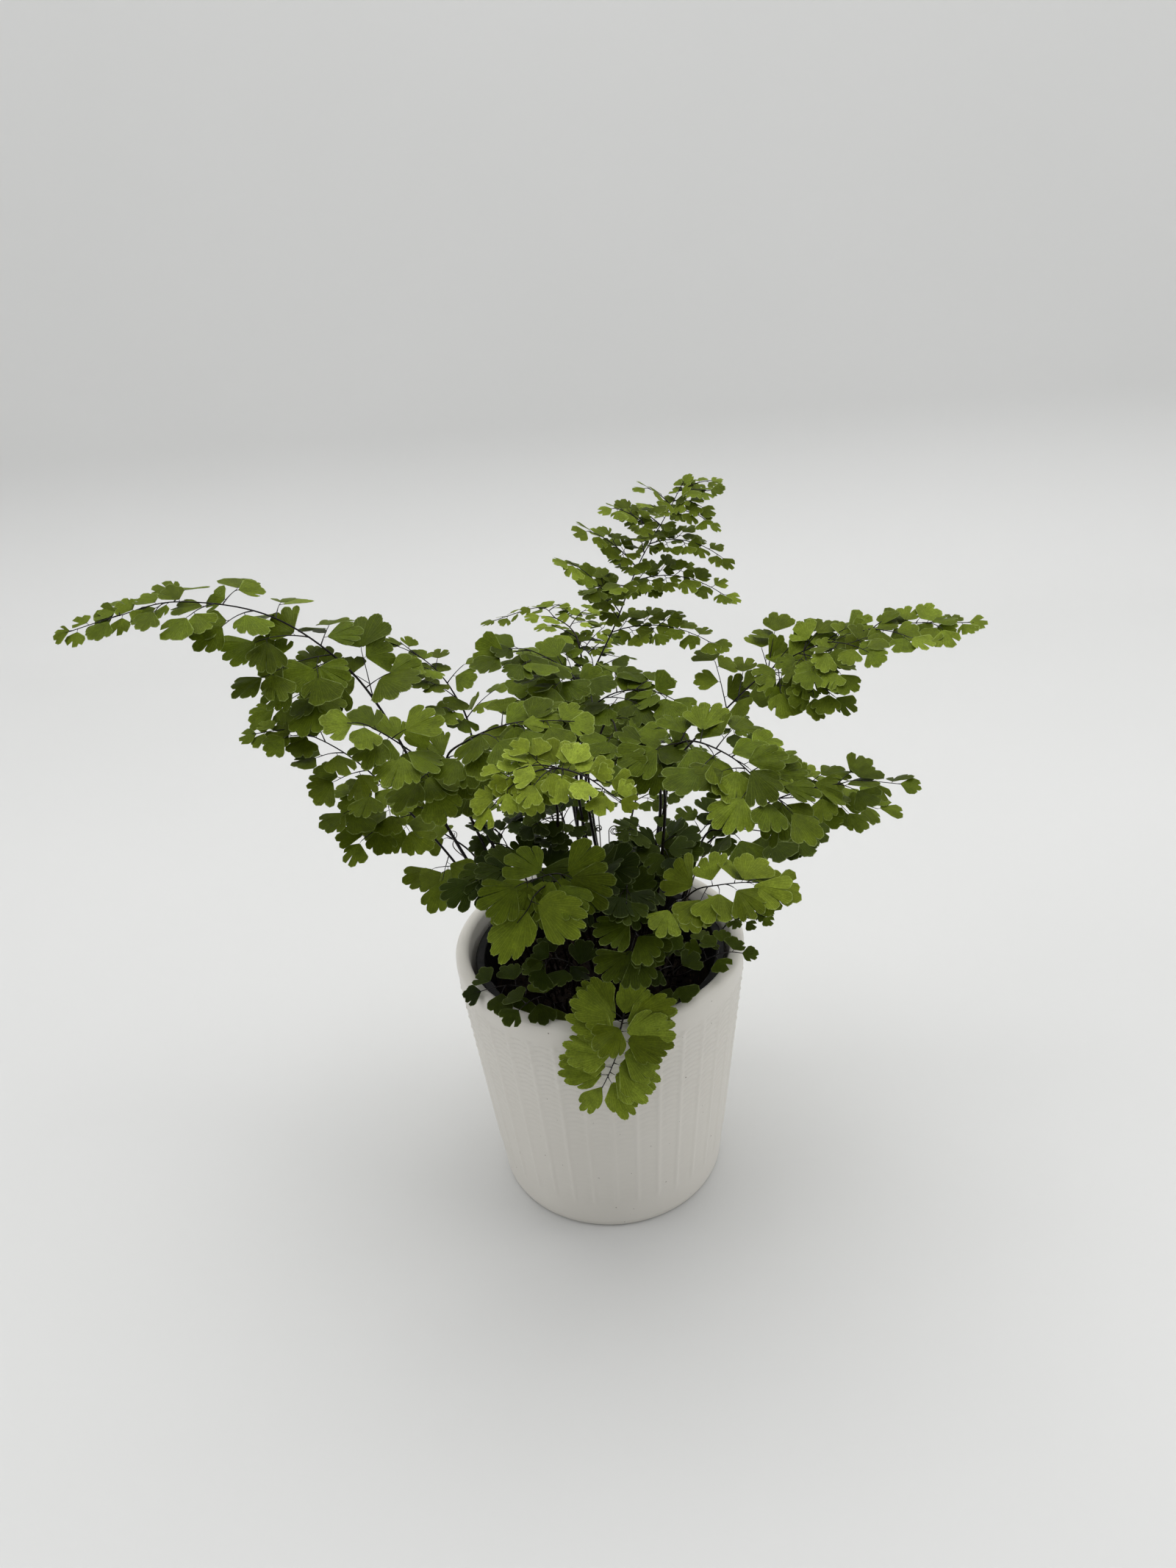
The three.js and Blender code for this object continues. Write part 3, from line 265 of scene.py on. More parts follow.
            (-23, -58, 166), (-27, -62, 163)],
        branches=[(0.91, (-14, -65, 163), 4)]),
    "front_left_upper": dict(leaf=17, share=0.95, width=0.8, cut=True, facing=0.8, painted_light_and_tone=0.55,
        stem=[(-9, -20, 98), (-8, -30, 148), (-11, -37, 164), (-15, -41, 168), (-19, -46, 170),
            (-23, -52, 172)],
        branches=[(0.92, (-33, -60, 172), 2), (0.88, (-22, -38, 168), 2), (0.84, (-3, -58, 172), 4),
            (0.78, (-5, -40, 166), 2), (0.86, (-9, -62, 171), 3)]),
    "middle_fan": dict(leaf=15, share=0.95, cut=True, facing=0.4, painted_light_and_tone=0.09,
        stem=[(-12, -8, 98), (-17, -14, 136), (-19, -22, 156), (-25, -30, 165), (-33, -38, 169)],
        branches=[(0.56, (-4, -20, 159), 2), (0.67, (-12, -12, 159), 2), (0.67, (-29, -14, 161), 3),
            (0.8, (-22, -46, 166), 1), (0.85, (-40, -30, 167), 2), (0.9, (-30, -48, 169), 1),
            (0.96, (-49, -42, 164), 2), (0.96, (-44, -34, 164), 2), (0.85, (-12, -36, 164), 2)]),
    "front_middle_dark": dict(leaf=13, share=0.95, cut=True, facing=0.6, painted_light_and_tone=0.07,
        stem=[(6, -15, 98), (8, -22, 131), (10, -28, 146), (11, -36, 158), (10, -52, 161)],
        branches=[(0.52, (1, -28, 158), 2), (0.65, (18, -30, 155), 2), (0.74, (7, -54, 164), 1),
            (0.87, (14, -50, 156), 1)]),
    "front_drooping": dict(leaf=14, share=1.0, facing=0.7, painted_light_and_tone=0.3,
        stem=[(13, -14, 98), (17, -20, 122), (18, -30, 142), (15, -44, 150), (12, -54, 148),
            (10, -56, 142)],
        branches=[(0.49, (24, -38, 140), 2), (0.83, (7, -60, 157), 1), (0.89, (15, -62, 150), 1),
            (0.97, (7, -60, 142), 1), (0.97, (12, -60, 140), 1)]),
    "front_small_left": dict(leaf=11, share=0.9, facing=0.6, painted_light_and_tone=0.08,
        stem=[(1, -24, 98), (-7, -32, 111), (-10, -38, 126), (-17, -42, 133), (-21, -46, 134)],
        branches=[(0.57, (-5, -34, 129), 1), (0.73, (-14, -52, 133), 1), (0.84, (-18, -34, 132), 1),
            (0.92, (-22, -54, 134), 1)]),
    "left_rim_low": dict(leaf=11, share=0.9, facing=0.5, painted_light_and_tone=0.14,
        stem=[(-22, -17, 98), (-24, -26, 105), (-32, -32, 114), (-38, -34, 116), (-47, -34, 114)],
        branches=[(0.49, (-29, -42, 114), 1), (0.62, (-33, -24, 115), 1), (0.73, (-39, -42, 114), 1),
            (0.82, (-44, -26, 115), 1)]),
    "left_rim_front": dict(leaf=11, share=0.9, facing=0.5, painted_light_and_tone=0.22,
        stem=[(-16, -25, 98), (-15, -34, 102), (-21, -40, 114), (-26, -46, 118), (-32, -50, 116)],
        branches=[(0.48, (-17, -48, 111), 1), (0.59, (-23, -34, 115), 1), (0.75, (-22, -50, 114), 1),
            (0.88, (-31, -40, 114), 1)]),
    "right_front_inner": dict(leaf=11, facing=0.5, painted_light_and_tone=0.15,
        stem=[(17, -22, 98), (23, -32, 103), (26, -38, 121), (23, -42, 131)],
        branches=[(0.52, (28, -46, 119), 1), (0.69, (33, -36, 124), 1), (0.81, (19, -48, 128), 1),
            (0.95, (28, -38, 132), 1)]),
    "inner_left_low": dict(leaf=11, facing=0.25, painted_light_and_tone=0.05,
        stem=[(-16, -8, 98), (-25, -16, 148), (-30, -14, 160), (-33, -12, 167), (-36, -12, 172)],
        branches=[(0.72, (-18, -8, 153), 2), (0.79, (-39, -20, 163), 2), (0.84, (-24, -4, 161), 2),
            (0.88, (-41, -16, 167), 2), (0.94, (-29, -4, 169), 2), (0.95, (-41, -18, 177), 2)]),
    "inner_centre_low": dict(leaf=14, share=0.9, cut=True, facing=0.5, painted_light_and_tone=0.03,
        stem=[(2, -13, 98), (-2, -20, 140), (0, -25, 152), (1, -29, 159), (3, -34, 164)],
        branches=[(0.62, (-9, -34, 161), 2), (0.7, (10, -22, 152), 2), (0.77, (-6, -42, 159), 2),
            (0.81, (8, -42, 158), 2), (0.9, (-2, -22, 161), 2), (0.93, (11, -36, 166), 2),
            (0.98, (1, -44, 163), 1)]),
    "inner_right_low": dict(leaf=13, share=0.9, facing=0.4, painted_light_and_tone=0.06,
        stem=[(16, -9, 98), (17, -8, 133), (20, -9, 146), (23, -10, 155), (26, -12, 160)],
        branches=[(0.65, (13, -24, 158), 2), (0.74, (31, -24, 157), 2), (0.79, (16, -16, 160), 2),
            (0.89, (35, -20, 161), 2), (0.95, (21, -14, 164), 2), (1, (35, -16, 167), 2),
            (1, (27, -34, 165), 2)]),
    "inner_right_mid": dict(leaf=12, share=0.8, facing=0.3, painted_light_and_tone=0.2,
        stem=[(21, 5, 98), (33, 4, 139), (39, 3, 151), (44, 1, 159), (47, -1, 164)],
        branches=[(0.72, (32, 12, 151), 2), (0.79, (49, -8, 158), 2), (0.85, (38, 10, 159), 2),
            (0.91, (54, -6, 163), 2), (0.94, (44, 8, 163), 2), (0.98, (53, 4, 164), 2)]),
    "rear_low_left": dict(leaf=10, facing=0, painted_light_and_tone=0.4,
        stem=[(-7, 18, 98), (-14, 40, 132), (-20, 62, 148), (-27, 84, 150), (-31, 100, 143)],
        branches=[(0.45, (-44, 56, 146), 3), (0.5, (-2, 70, 150), 3), (0.65, (-52, 78, 142), 3),
            (0.72, (-8, 90, 145), 3), (0.85, (-44, 98, 138), 2)]),
    "rear_low_right": dict(leaf=10, facing=0, painted_light_and_tone=0.4,
        stem=[(9, 17, 98), (16, 42, 136), (25, 64, 151), (33, 86, 153), (39, 102, 146)],
        branches=[(0.45, (2, 58, 148), 3), (0.5, (46, 62, 146), 3), (0.65, (16, 86, 150), 3),
            (0.7, (56, 84, 144), 3), (0.85, (28, 104, 143), 2), (0.85, (54, 98, 142), 2)]),
}

# Young fronds still coiled: the route of the stalk, then the coil's outer radius.
CROZIERS = {
    "crozier_coiled": dict(stalk=[(6, 11, 98), (6, 9, 130), (6.5, 6, 156)], coil=2.3),
    "crozier_slim": dict(stalk=[(3, 15, 98), (3, 13, 130), (3, 11, 163)], coil=1.6),
    "crozier_short": dict(stalk=[(10, 5, 98), (5, 4, 130), (1, 5, 158)], coil=1.5),
}

# Bare stalks whose leaflets have dried off: a main stalk and its curled forks.
DRIED_STALKS = {
    "dried_stalk_left": [
        [(-20, 7, 98), (-43, 7, 134), (-47, 8, 144), (-43, 8, 157)],
        [(-47, 8, 144), (-54, 7, 153), (-52, 6, 159)],
        [(-45, 8, 150), (-41, 5, 156), (-40, 4, 164)]],
    "dried_stalk_centre": [
        [(-11, 8, 98), (-11, 12, 165), (-6, 14, 194), (-1, 16, 201)],
        [(-8.5, 13, 180), (-13, 15, 192), (-14, 16, 197)]],
    "dried_stalk_right": [
        [(29, 2, 98), (40, 14, 128), (47, 18, 140), (50, 16, 147)],
        [(44, 16.5, 135), (50, 20, 138), (54, 20, 136)]],
}


# ---------------------------------------------------------------- small node helpers

def new_finish(name):
    """A node material with its shader; returns the material, its nodes' tree and the shader."""
    finish = bpy.data.materials.new(name)
    finish.use_nodes = True
    tree = finish.node_tree
    return finish, tree, tree.nodes["Principled BSDF"]


def feed(tree, socket, value):
    """Gives an input another node's output, or a plain number, direction or colour."""
    if isinstance(value, bpy.types.NodeSocket):
        tree.links.new(value, socket)
    elif socket.type == "RGBA":
        socket.default_value = (*value, 1)
    else:
        socket.default_value = value


def add_node(tree, kind, inputs=(), **settings):
    """A node with its settings; inputs are pairs of a name or number and what feeds it."""
    made = tree.nodes.new(kind)
    for key, value in settings.items():
        setattr(made, key, value)
    for key, value in inputs:
        feed(tree, made.inputs[key], value)
    return made


def calculate(tree, operation, first, second=0.0, third=0.0, clamp=False):
    inputs = [(0, first), (1, second), (2, third)]
    return add_node(tree, "ShaderNodeMath", inputs, operation=operation, use_clamp=clamp).outputs[0]


def times(tree, first, second):
    return calculate(tree, "MULTIPLY", first, second)


def blend_colour(tree, share, first, second, mode="MIX"):
    return add_node(tree, "ShaderNodeMix", [(6, first), (7, second), (0, share)],
                    data_type="RGBA", blend_type=mode, clamp_factor=True).outputs[2]


def tint(tree, colour, by):
    """A colour multiplied by another."""
    return blend_colour(tree, 1.0, colour, by, "MULTIPLY")


def ramp(tree, value, *stops):
    """A colour ramp; each stop is (place, colour) or (place, grey)."""
    made = add_node(tree, "ShaderNodeValToRGB", [(0, value)])
    points = made.color_ramp.elements
    while len(points) < len(stops):
        points.new(0.5)
    for point, (place, colour) in zip(points, stops):
        point.position = place
        point.color = (*colour, 1) if isinstance(colour, tuple) else (colour, colour, colour, 1)
    return made.outputs[0]


def surface_noise(tree, scale, detail, roughness=0.55, stretch=(1, 1, 1)):
    """Noise on the piece's own coordinates; scale is in bumps per metre."""
    place = add_node(tree, "ShaderNodeTexCoord").outputs["Object"]
    place = add_node(tree, "ShaderNodeMapping", [(0, place), (3, stretch)]).outputs[0]
    inputs = [("Vector", place), ("Scale", scale), ("Detail", detail), ("Roughness", roughness)]
    return add_node(tree, "ShaderNodeTexNoise", inputs).outputs["Fac"]


def attribute(tree, name):
    return add_node(tree, "ShaderNodeAttribute", attribute_name=name).outputs["Fac"]


def dress(tree, shader, colour, roughness, specular=0.5):
    """Gives a shader its colour, its roughness and the strength of its gloss."""
    feed(tree, shader.inputs["Roughness"], roughness)
    shader.inputs["Specular IOR Level"].default_value = specular
    feed(tree, shader.inputs["Base Color"], colour)


def raise_surface(tree, shader, height, distance, strength):
    """Bumps by a height; distance is in metres. Returns the bumped normal."""
    inputs = [("Height", height), ("Distance", distance), ("Strength", strength)]
    bump = add_node(tree, "ShaderNodeBump", inputs).outputs[0]
    tree.links.new(bump, shader.inputs["Normal"])
    return bump


# ---------------------------------------------------------------- finishes

def leaf_blade(tree, own):
    """Green by the frond's tone: the leaves' own green, with painted shade on the fronds deep inside the
    plant and painted light on those that catch the light. A little different on each leaflet, with patches
    and mottling.
    """
    # the dark end of this ramp is painted shade and the bright end painted light, on top of the leaves' own
    # range of green
    green = ramp(tree, attribute(tree, "painted_light_and_tone"),
                 (0, (0.017, 0.030, 0.001)), (0.5, (0.092, 0.128, 0.0045)), (1, (0.235, 0.300, 0.024)))
    shade = calculate(tree, "MULTIPLY_ADD", own, 0.72, 0.58)
    yellower = [(0, shade), (1, shade), (2, times(tree, shade, shade))]
    green = tint(tree, green, add_node(tree, "ShaderNodeCombineColor", yellower).outputs[0])
    green = tint(tree, green, ramp(tree, surface_noise(tree, 260, 4), (0.3, 0.73), (0.7, 1.14)))
    return tint(tree, green, ramp(tree, surface_noise(tree, 1500, 3, 0.6), (0.32, 0.82), (0.68, 1.20)))


def leaf_veins(tree, across, along):
    """Veins that fan out from the foot and double twice on the way to the margin."""
    def fan_lines(count, width):
        wave = calculate(tree, "PINGPONG", times(tree, across, count), 0.5)
        return calculate(tree, "SUBTRACT", 1.0, calculate(tree, "DIVIDE", wave, width), clamp=True)

    def beyond(fork):
        return calculate(tree, "DIVIDE", calculate(tree, "SUBTRACT", along, fork), 0.06, clamp=True)

    veins = fan_lines(9, 0.10)
    for count, width, fork in ((18, 0.13, 0.34), (36, 0.17, 0.66)):
        veins = calculate(tree, "MAXIMUM", veins, times(tree, fan_lines(count, width), beyond(fork)))
    return veins


def leaf_freckles(tree, own, along):
    """Freckles near the margin of the older leaflets."""
    spots = ramp(tree, surface_noise(tree, 1700, 2), (0.60, 0), (0.68, 1))
    older = calculate(tree, "GREATER_THAN", own, 0.68)
    near_margin = calculate(tree, "DIVIDE", calculate(tree, "SUBTRACT", along, 0.45), 0.5, clamp=True)
    return times(tree, times(tree, spots, older), near_margin)


def leaf_rim(tree, across, along):
    """A thin rim along the margin, broken here and there."""
    side_gap = times(tree, calculate(tree, "PINGPONG", across, 0.5), 1.6)
    to_edge = calculate(tree, "MINIMUM", calculate(tree, "SUBTRACT", 1.0, along), side_gap)
    inward = calculate(tree, "DIVIDE", to_edge, attribute(tree, "rim_share"))
    rim = calculate(tree, "SUBTRACT", 1.0, inward, clamp=True)
    return times(tree, rim, ramp(tree, surface_noise(tree, 900, 3, 0.6), (0.38, 0.25), (0.62, 1)))


def leaf_finish():
    """A leaflet's two sides: its UV map runs across the fan and from foot to margin."""
    finish, tree, shader = new_finish("fern_leaflet")
    fan_place = add_node(tree, "ShaderNodeUVMap", uv_map="UVMap").outputs[0]
    across, along, _ = add_node(tree, "ShaderNodeSeparateXYZ", [(0, fan_place)]).outputs
    own = attribute(tree, "own_shade")
    green = leaf_blade(tree, own)
    veins = leaf_veins(tree, across, along)
    brighter = blend_colour(tree, 0.12, tint(tree, green, (1.7, 1.65, 1.9)), (0.30, 0.36, 0.08))
    green = blend_colour(tree, times(tree, veins, 0.62), green, brighter)
    freckles = times(tree, leaf_freckles(tree, own, along), 0.55)
    green = blend_colour(tree, freckles, green, (0.055, 0.035, 0.008))
    pale = blend_colour(tree, 0.44, tint(tree, green, (2.1, 2.0, 3.0)), (0.40, 0.48, 0.20))
    green = blend_colour(tree, leaf_rim(tree, across, along), green, pale)
    underside = blend_colour(tree, 0.35, green, (0.16, 0.20, 0.075))
    green = blend_colour(tree, attribute(tree, "upper_side"), underside, green)
    dress(tree, shader, green, ramp(tree, surface_noise(tree, 420, 3), (0.25, 0.40), (0.75, 0.58)), 0.09)
    relief = calculate(tree, "ADD", times(tree, veins, -0.3), surface_noise(tree, 900, 3))
    bump = raise_surface(tree, shader, relief, 0.00018, 0.55)

    # light that comes through the blade
    glow = blend_colour(tree, 0.5, green, (0.27, 0.38, 0.006))
    through = add_node(tree, "ShaderNodeBsdfTranslucent", [("Color", glow), ("Normal", bump)])
    sides = [(0, 0.24), (1, shader.outputs[0]), (2, through.outputs[0])]
    both = add_node(tree, "ShaderNodeMixShader", sides)
    tree.links.new(both.outputs[0], tree.nodes["Material Output"].inputs[0])
    return finish


def patchy_finish(name, patches, colours, roughness, grain, distance, strength, specular=0.5):
    """Colour and roughness that follow one noise, and a grain raised on the surface."""
    finish, tree, shader = new_finish(name)
    shades = surface_noise(tree, *patches)
    dress(tree, shader, ramp(tree, shades, *colours), ramp(tree, shades, *roughness), specular)
    raise_surface(tree, shader, surface_noise(tree, *grain), distance, strength)
    return finish


def black_stalk_finish():
    colours = (0.3, (0.0030, 0.0022, 0.0020)), (0.62, (0.0080, 0.0048, 0.0036)), (0.8, (0.030, 0.014, 0.007))
    return patchy_finish("black_stalk", (500, 3), colours, [(0.3, 0.22), (0.8, 0.42)],
                         (1600, 2), 0.00005, 0.4, 0.20)


def young_stalk_finish():
    colours = (0.3, (0.022, 0.020, 0.010)), (0.55, (0.055, 0.050, 0.018)), (0.8, (0.11, 0.085, 0.035))
    return patchy_finish("young_stalk", (240, 3), colours, [(0.3, 0.35), (0.8, 0.6)],
                         (2200, 2), 0.00006, 0.5)


def dry_stalk_finish():
    colours = (0.3, (0.020, 0.012, 0.008)), (0.6, (0.060, 0.036, 0.020)), (0.8, (0.15, 0.10, 0.055))
    return patchy_finish("dry_stalk", (320, 4), colours, [(0.3, 0.55), (0.8, 0.85)],
                         (1800, 3), 0.0001, 0.7)


def rhizome_finish():
    bark = (520, 5, 0.65)
    colours = (0.3, (0.0035, 0.0021, 0.0014)), (0.55, (0.012, 0.0066, 0.0040)), (0.78, (0.040, 0.023, 0.013))
    return patchy_finish("rhizome_scales", bark, colours, [(0.3, 0.6), (0.7, 0.9)],
                         bark, 0.0005, 0.8, 0.15)


def white_glaze_finish():
    """Glaze, darker in the weave's hollows, with a few iron specks."""
    finish, tree, shader = new_finish("white_glaze")
    clouds = ramp(tree, surface_noise(tree, 22, 4),
                  (0.3, (0.716, 0.688, 0.628)), (0.7, (0.745, 0.718, 0.660)))
    # the glaze colour is made darker where the weave sinks in
    hollow_share = times(tree, attribute(tree, "weave_depth"), 0.45)
    darker_in_hollows = blend_colour(tree, hollow_share, clouds, (0.500, 0.480, 0.430))
    specks = ramp(tree, surface_noise(tree, 640, 1, 0.4), (0.795, 0), (0.815, 1))
    speckled = blend_colour(tree, times(tree, specks, 0.75), darker_in_hollows, (0.20, 0.17, 0.13))
    dress(tree, shader, speckled, ramp(tree, surface_noise(tree, 90, 4), (0.3, 0.38), (0.7, 0.46)), 0.40)
    fine_ripple = times(tree, surface_noise(tree, 1400, 2), 0.15)
    ripple = calculate(tree, "ADD", surface_noise(tree, 210, 3), fine_ripple)
    raise_surface(tree, shader, ripple, 0.00010, 0.08)
    return finish


def black_plastic_finish():
    """Moulded plastic with a film of dust."""
    finish, tree, shader = new_finish("black_plastic")
    dust = ramp(tree, surface_noise(tree, 120, 5),
                (0.35, (0.0026, 0.0026, 0.0028)), (0.75, (0.009, 0.0085, 0.0075)))
    dress(tree, shader, dust, ramp(tree, surface_noise(tree, 300, 3), (0.3, 0.38), (0.7, 0.62)), 0.14)
    raise_surface(tree, shader, surface_noise(tree, 2600, 2), 0.00006, 0.5)
    return finish


def potting_soil_finish():
    """Damp, dark grains with paler fibres; the grains are made darker still as painted shade for the inside
    of the pot.
    """
    finish, tree, shader = new_finish("potting_soil")
    grains = surface_noise(tree, 420, 6, 0.7)
    # very dark soil colours: the soil's own dark brown, darkened further as painted shade deep in the pot
    colour = ramp(tree, grains, (0.30, (0.0010, 0.0007, 0.0005)), (0.52, (0.0034, 0.0022, 0.0016)),
                  (0.70, (0.012, 0.0075, 0.005)))
    fibres = ramp(tree, surface_noise(tree, 900, 2, 0.5, (1, 0.12, 1)), (0.66, 0), (0.72, 1))
    colour = blend_colour(tree, times(tree, fibres, 0.4), colour, (0.045, 0.028, 0.016))
    dress(tree, shader, colour, ramp(tree, grains, (0.3, 0.75), (0.7, 0.98)), 0.04)
    raise_surface(tree, shader, grains, 0.0009, 0.9)
    return finish


def studio_paper_finish():
    finish, tree, shader = new_finish("studio_paper")
    clouds = ramp(tree, surface_noise(tree, 3, 2),
                  (0.3, (0.655, 0.657, 0.648)), (0.7, (0.668, 0.669, 0.661)))
    dress(tree, shader, clouds, 0.62, 0.25)
    return finish


LEAF = leaf_finish()
STALK = black_stalk_finish()
YOUNG = young_stalk_finish()
DRY = dry_stalk_finish()
GLAZE = white_glaze_finish()
PLASTIC = black_plastic_finish()
SOIL = potting_soil_finish()
RHIZOME = rhizome_finish()
PAPER = studio_paper_finish()


# ---------------------------------------------------------------- routes, tubes and turned shapes

def smooth_route(points, steps=9):
    """A smooth curve through points given in millimetres, as a list of places in metres."""
    knots = [Vector(p) * MM for p in points]
    knots = [2 * knots[0] - knots[1], *knots, 2 * knots[-1] - knots[-2]]
    line = []
    for a, b, c, d in zip(knots, knots[1:], knots[2:], knots[3:]):
        for i in range(steps):
            t = i / steps
            line.append(0.5 * (2 * b + (c - a) * t + (2 * a - 5 * b + 4 * c - d) * t * t
                               + (3 * b - a - 3 * c + d) * t ** 3))
    line.append(knots[-2])
    return line


def bowed_route(start, middle, end, steps=10):
    """A quadratic bow from start to end, pulled towards middle."""
    return [start * (1 - t) ** 2 + middle * 2 * t * (1 - t) + end * t * t
            for t in (i / steps for i in range(steps + 1))]


def distances(line):
    """How far each place of a line is along it."""
    run = [0.0]
    for a, b in zip(line, line[1:]):
        run.append(run[-1] + (b - a).length)
    return run


def place_on(line, run, distance):
    """The place and direction at a distance along a line."""
    i = 1
    while i < len(run) - 1 and run[i] < distance:
        i += 1
    part = (distance - run[i - 1]) / max(run[i] - run[i - 1], 1e-9)
    return line[i - 1].lerp(line[i], part), (line[i] - line[i - 1]).normalized()


def part_of(line, run, first, last, steps=8):
    """The stretch of a line between two distances."""
    return [place_on(line, run, first + (last - first) * i / steps)[0] for i in range(steps + 1)]


def any_way(rng, low=-1, high=1):
    """A random direction whose upright part is between low and high."""
    return Vector((rng.uniform(-1, 1), rng.uniform(-1, 1), rng.uniform(low, high)))


def tube_mesh(runs, roundness):
    """Round stalks that taper. A run is a line, in metres, and its radii at foot and tip, in millimetres."""
    curve = bpy.data.curves.new("stalks", "CURVE")
    curve.dimensions = "3D"
    curve.bevel_depth = 1.0
    curve.bevel_resolution = roundness
    curve.use_fill_caps = True
    for line, foot, tip in runs:
        spline = curve.splines.new("POLY")
        spline.points.add(len(line) - 1)
        for i, (point, at) in enumerate(zip(spline.points, line)):
            point.co = (*at, 1)
            point.radius = (tip + (foot - tip) * (1 - i / (len(line) - 1)) ** STALK_TAPER) * MM
    holder = bpy.data.objects.new("stalks", curve)
    mesh = bpy.data.meshes.new_from_object(holder)
    bpy.data.objects.remove(holder)
    bpy.data.curves.remove(curve)
    return mesh


def add_tubes(bm, runs, roundness, material_index):
    mesh = tube_mesh(runs, roundness)
    first = len(bm.faces)
    bm.from_mesh(mesh)
    bm.faces.ensure_lookup_table()
    for face in bm.faces[first:]:
        face.material_index = material_index
    bpy.data.meshes.remove(mesh)


def spun(bm, profile, steps):
    """A profile of (radius, height) in millimetres turned round the upright axis into a closed skin."""
    corners = [bm.verts.new((r * MM, 0, z * MM)) for r, z in profile]
    edges = [bm.edges.new(pair) for pair in zip(corners, corners[1:])]
    bmesh.ops.spin(bm, geom=[*corners, *edges], cent=(0, 0, 0), axis=(0, 0, 1), dvec=(0, 0, 0),
                   angle=math.tau, steps=steps, use_merge=True)
    bmesh.ops.remove_doubles(bm, verts=bm.verts, dist=1e-6)
    bmesh.ops.recalc_face_normals(bm, faces=bm.faces)


def arc(centre_r, centre_z, radius, first, last, count):
    """Points of a rounded corner in a profile, angles in degrees."""
    turns = (math.radians(first + (last - first) * i / (count - 1)) for i in range(count))
    return [(centre_r + radius * math.cos(a), centre_z + radius * math.sin(a)) for a in turns]


def fade(value, low, high):
    """0 below low, 1 above high, and a soft rise between them."""
    t = min(max((value - low) / (high - low), 0.0), 1.0)
    return t * t * (3 - 2 * t)


def add_object(name, data):
    made = bpy.data.objects.new(name, data)
    bpy.context.scene.collection.objects.link(made)
    return made


def smooth_object(name, bm, finishes):
    """The mesh becomes an object with its finishes, all faces smooth."""
    mesh = bpy.data.meshes.new(name)
    bm.to_mesh(mesh)
    bm.free()
    for finish in finishes:
        mesh.materials.append(finish)
    mesh.shade_smooth()
    return add_object(name, mesh)


def finish_piece(name, bm, finishes, node):
    """The mesh becomes a piece that rides on the part and stands for its CAD node."""
    piece = smooth_object(name, bm, finishes)
    piece.data.set_sharp_from_angle(angle=math.radians(50))
    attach(piece, "root")
    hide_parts(node)


# ---------------------------------------------------------------- cover pot

def cover_radius(z):
    """Outer radius of the cover pot's wall at a height, before the weave."""
    return COVER_BASE_RADIUS + (COVER_RIM_RADIUS - COVER_BASE_RADIUS) / COVER_WALL_TOP * z


def weave_height(turn, z):
    """Relief of the woven band, -1 to 1: upright ribs, and rows of strands that show most near the top."""
    rib = turn / math.tau * WEAVE_RIBS
    wander = 0.10 * noise.noise(Vector((math.cos(turn) * 3, math.sin(turn) * 3, z / 14)))
    sag = 0.22 * math.cos(math.tau * rib)
    row = z / WEAVE_ROW + sag + wander
    strand = abs(math.sin(math.pi * row)) ** 0.7
    over = math.cos(math.pi * (rib + math.floor(row)))
    clearness = 0.10 + 0.90 * fade(z, ROWS_FAINT_BELOW, ROWS_FULL_ABOVE)
    rows = (0.75 * strand - 0.48 + 0.30 * over * strand) * clearness
    from_rib = abs(rib - round(rib))
    return rows + 0.85 * math.exp(-(from_rib / RIB_HALF_WIDTH) ** 2)


def cover_profile():
    """Foot, wall, lip, inner wall and floor of the cover pot."""
    weave = [WEAVE_BOTTOM + (WEAVE_TOP - WEAVE_BOTTOM) * i / STEPS_UP_WEAVE
             for i in range(STEPS_UP_WEAVE + 1)]
    outer = [(cover_radius(z), z) for z in (*PLAIN_WALL_BELOW_WEAVE, *weave, *PLAIN_WALL_ABOVE_WEAVE)]
    half_lip = COVER_LIP / 2
    lip = arc(COVER_RIM_RADIUS - half_lip, COVER_HEIGHT - half_lip, half_lip, 12, 168, 13)
    foot_round, floor_round = COVER_FOOT_ROUNDING, COVER_FLOOR_ROUNDING
    inner_top, inner_foot = COVER_RIM_RADIUS - COVER_LIP, COVER_BASE_RADIUS - COVER_WALL_AT_FOOT
    inner_low = COVER_FLOOR + floor_round
    inner = [(inner_foot + (inner_top - inner_foot) * t, inner_low + (COVER_INNER_TOP - inner_low) * t)
             for t in (1, 0.85, 0.7, 0.5, 0.25, 0)]
    return [(0, 0), (15, 0), (30, 0), (COVER_BASE_RADIUS - 4, 0),
            *arc(COVER_BASE_RADIUS - foot_round, foot_round, foot_round, -88, 0, 7), *outer, *lip, *inner,
            *arc(inner_foot - floor_round, inner_low, floor_round, -10, -90, 5),
            (25, COVER_FLOOR), (10, COVER_FLOOR), (0, COVER_FLOOR)]


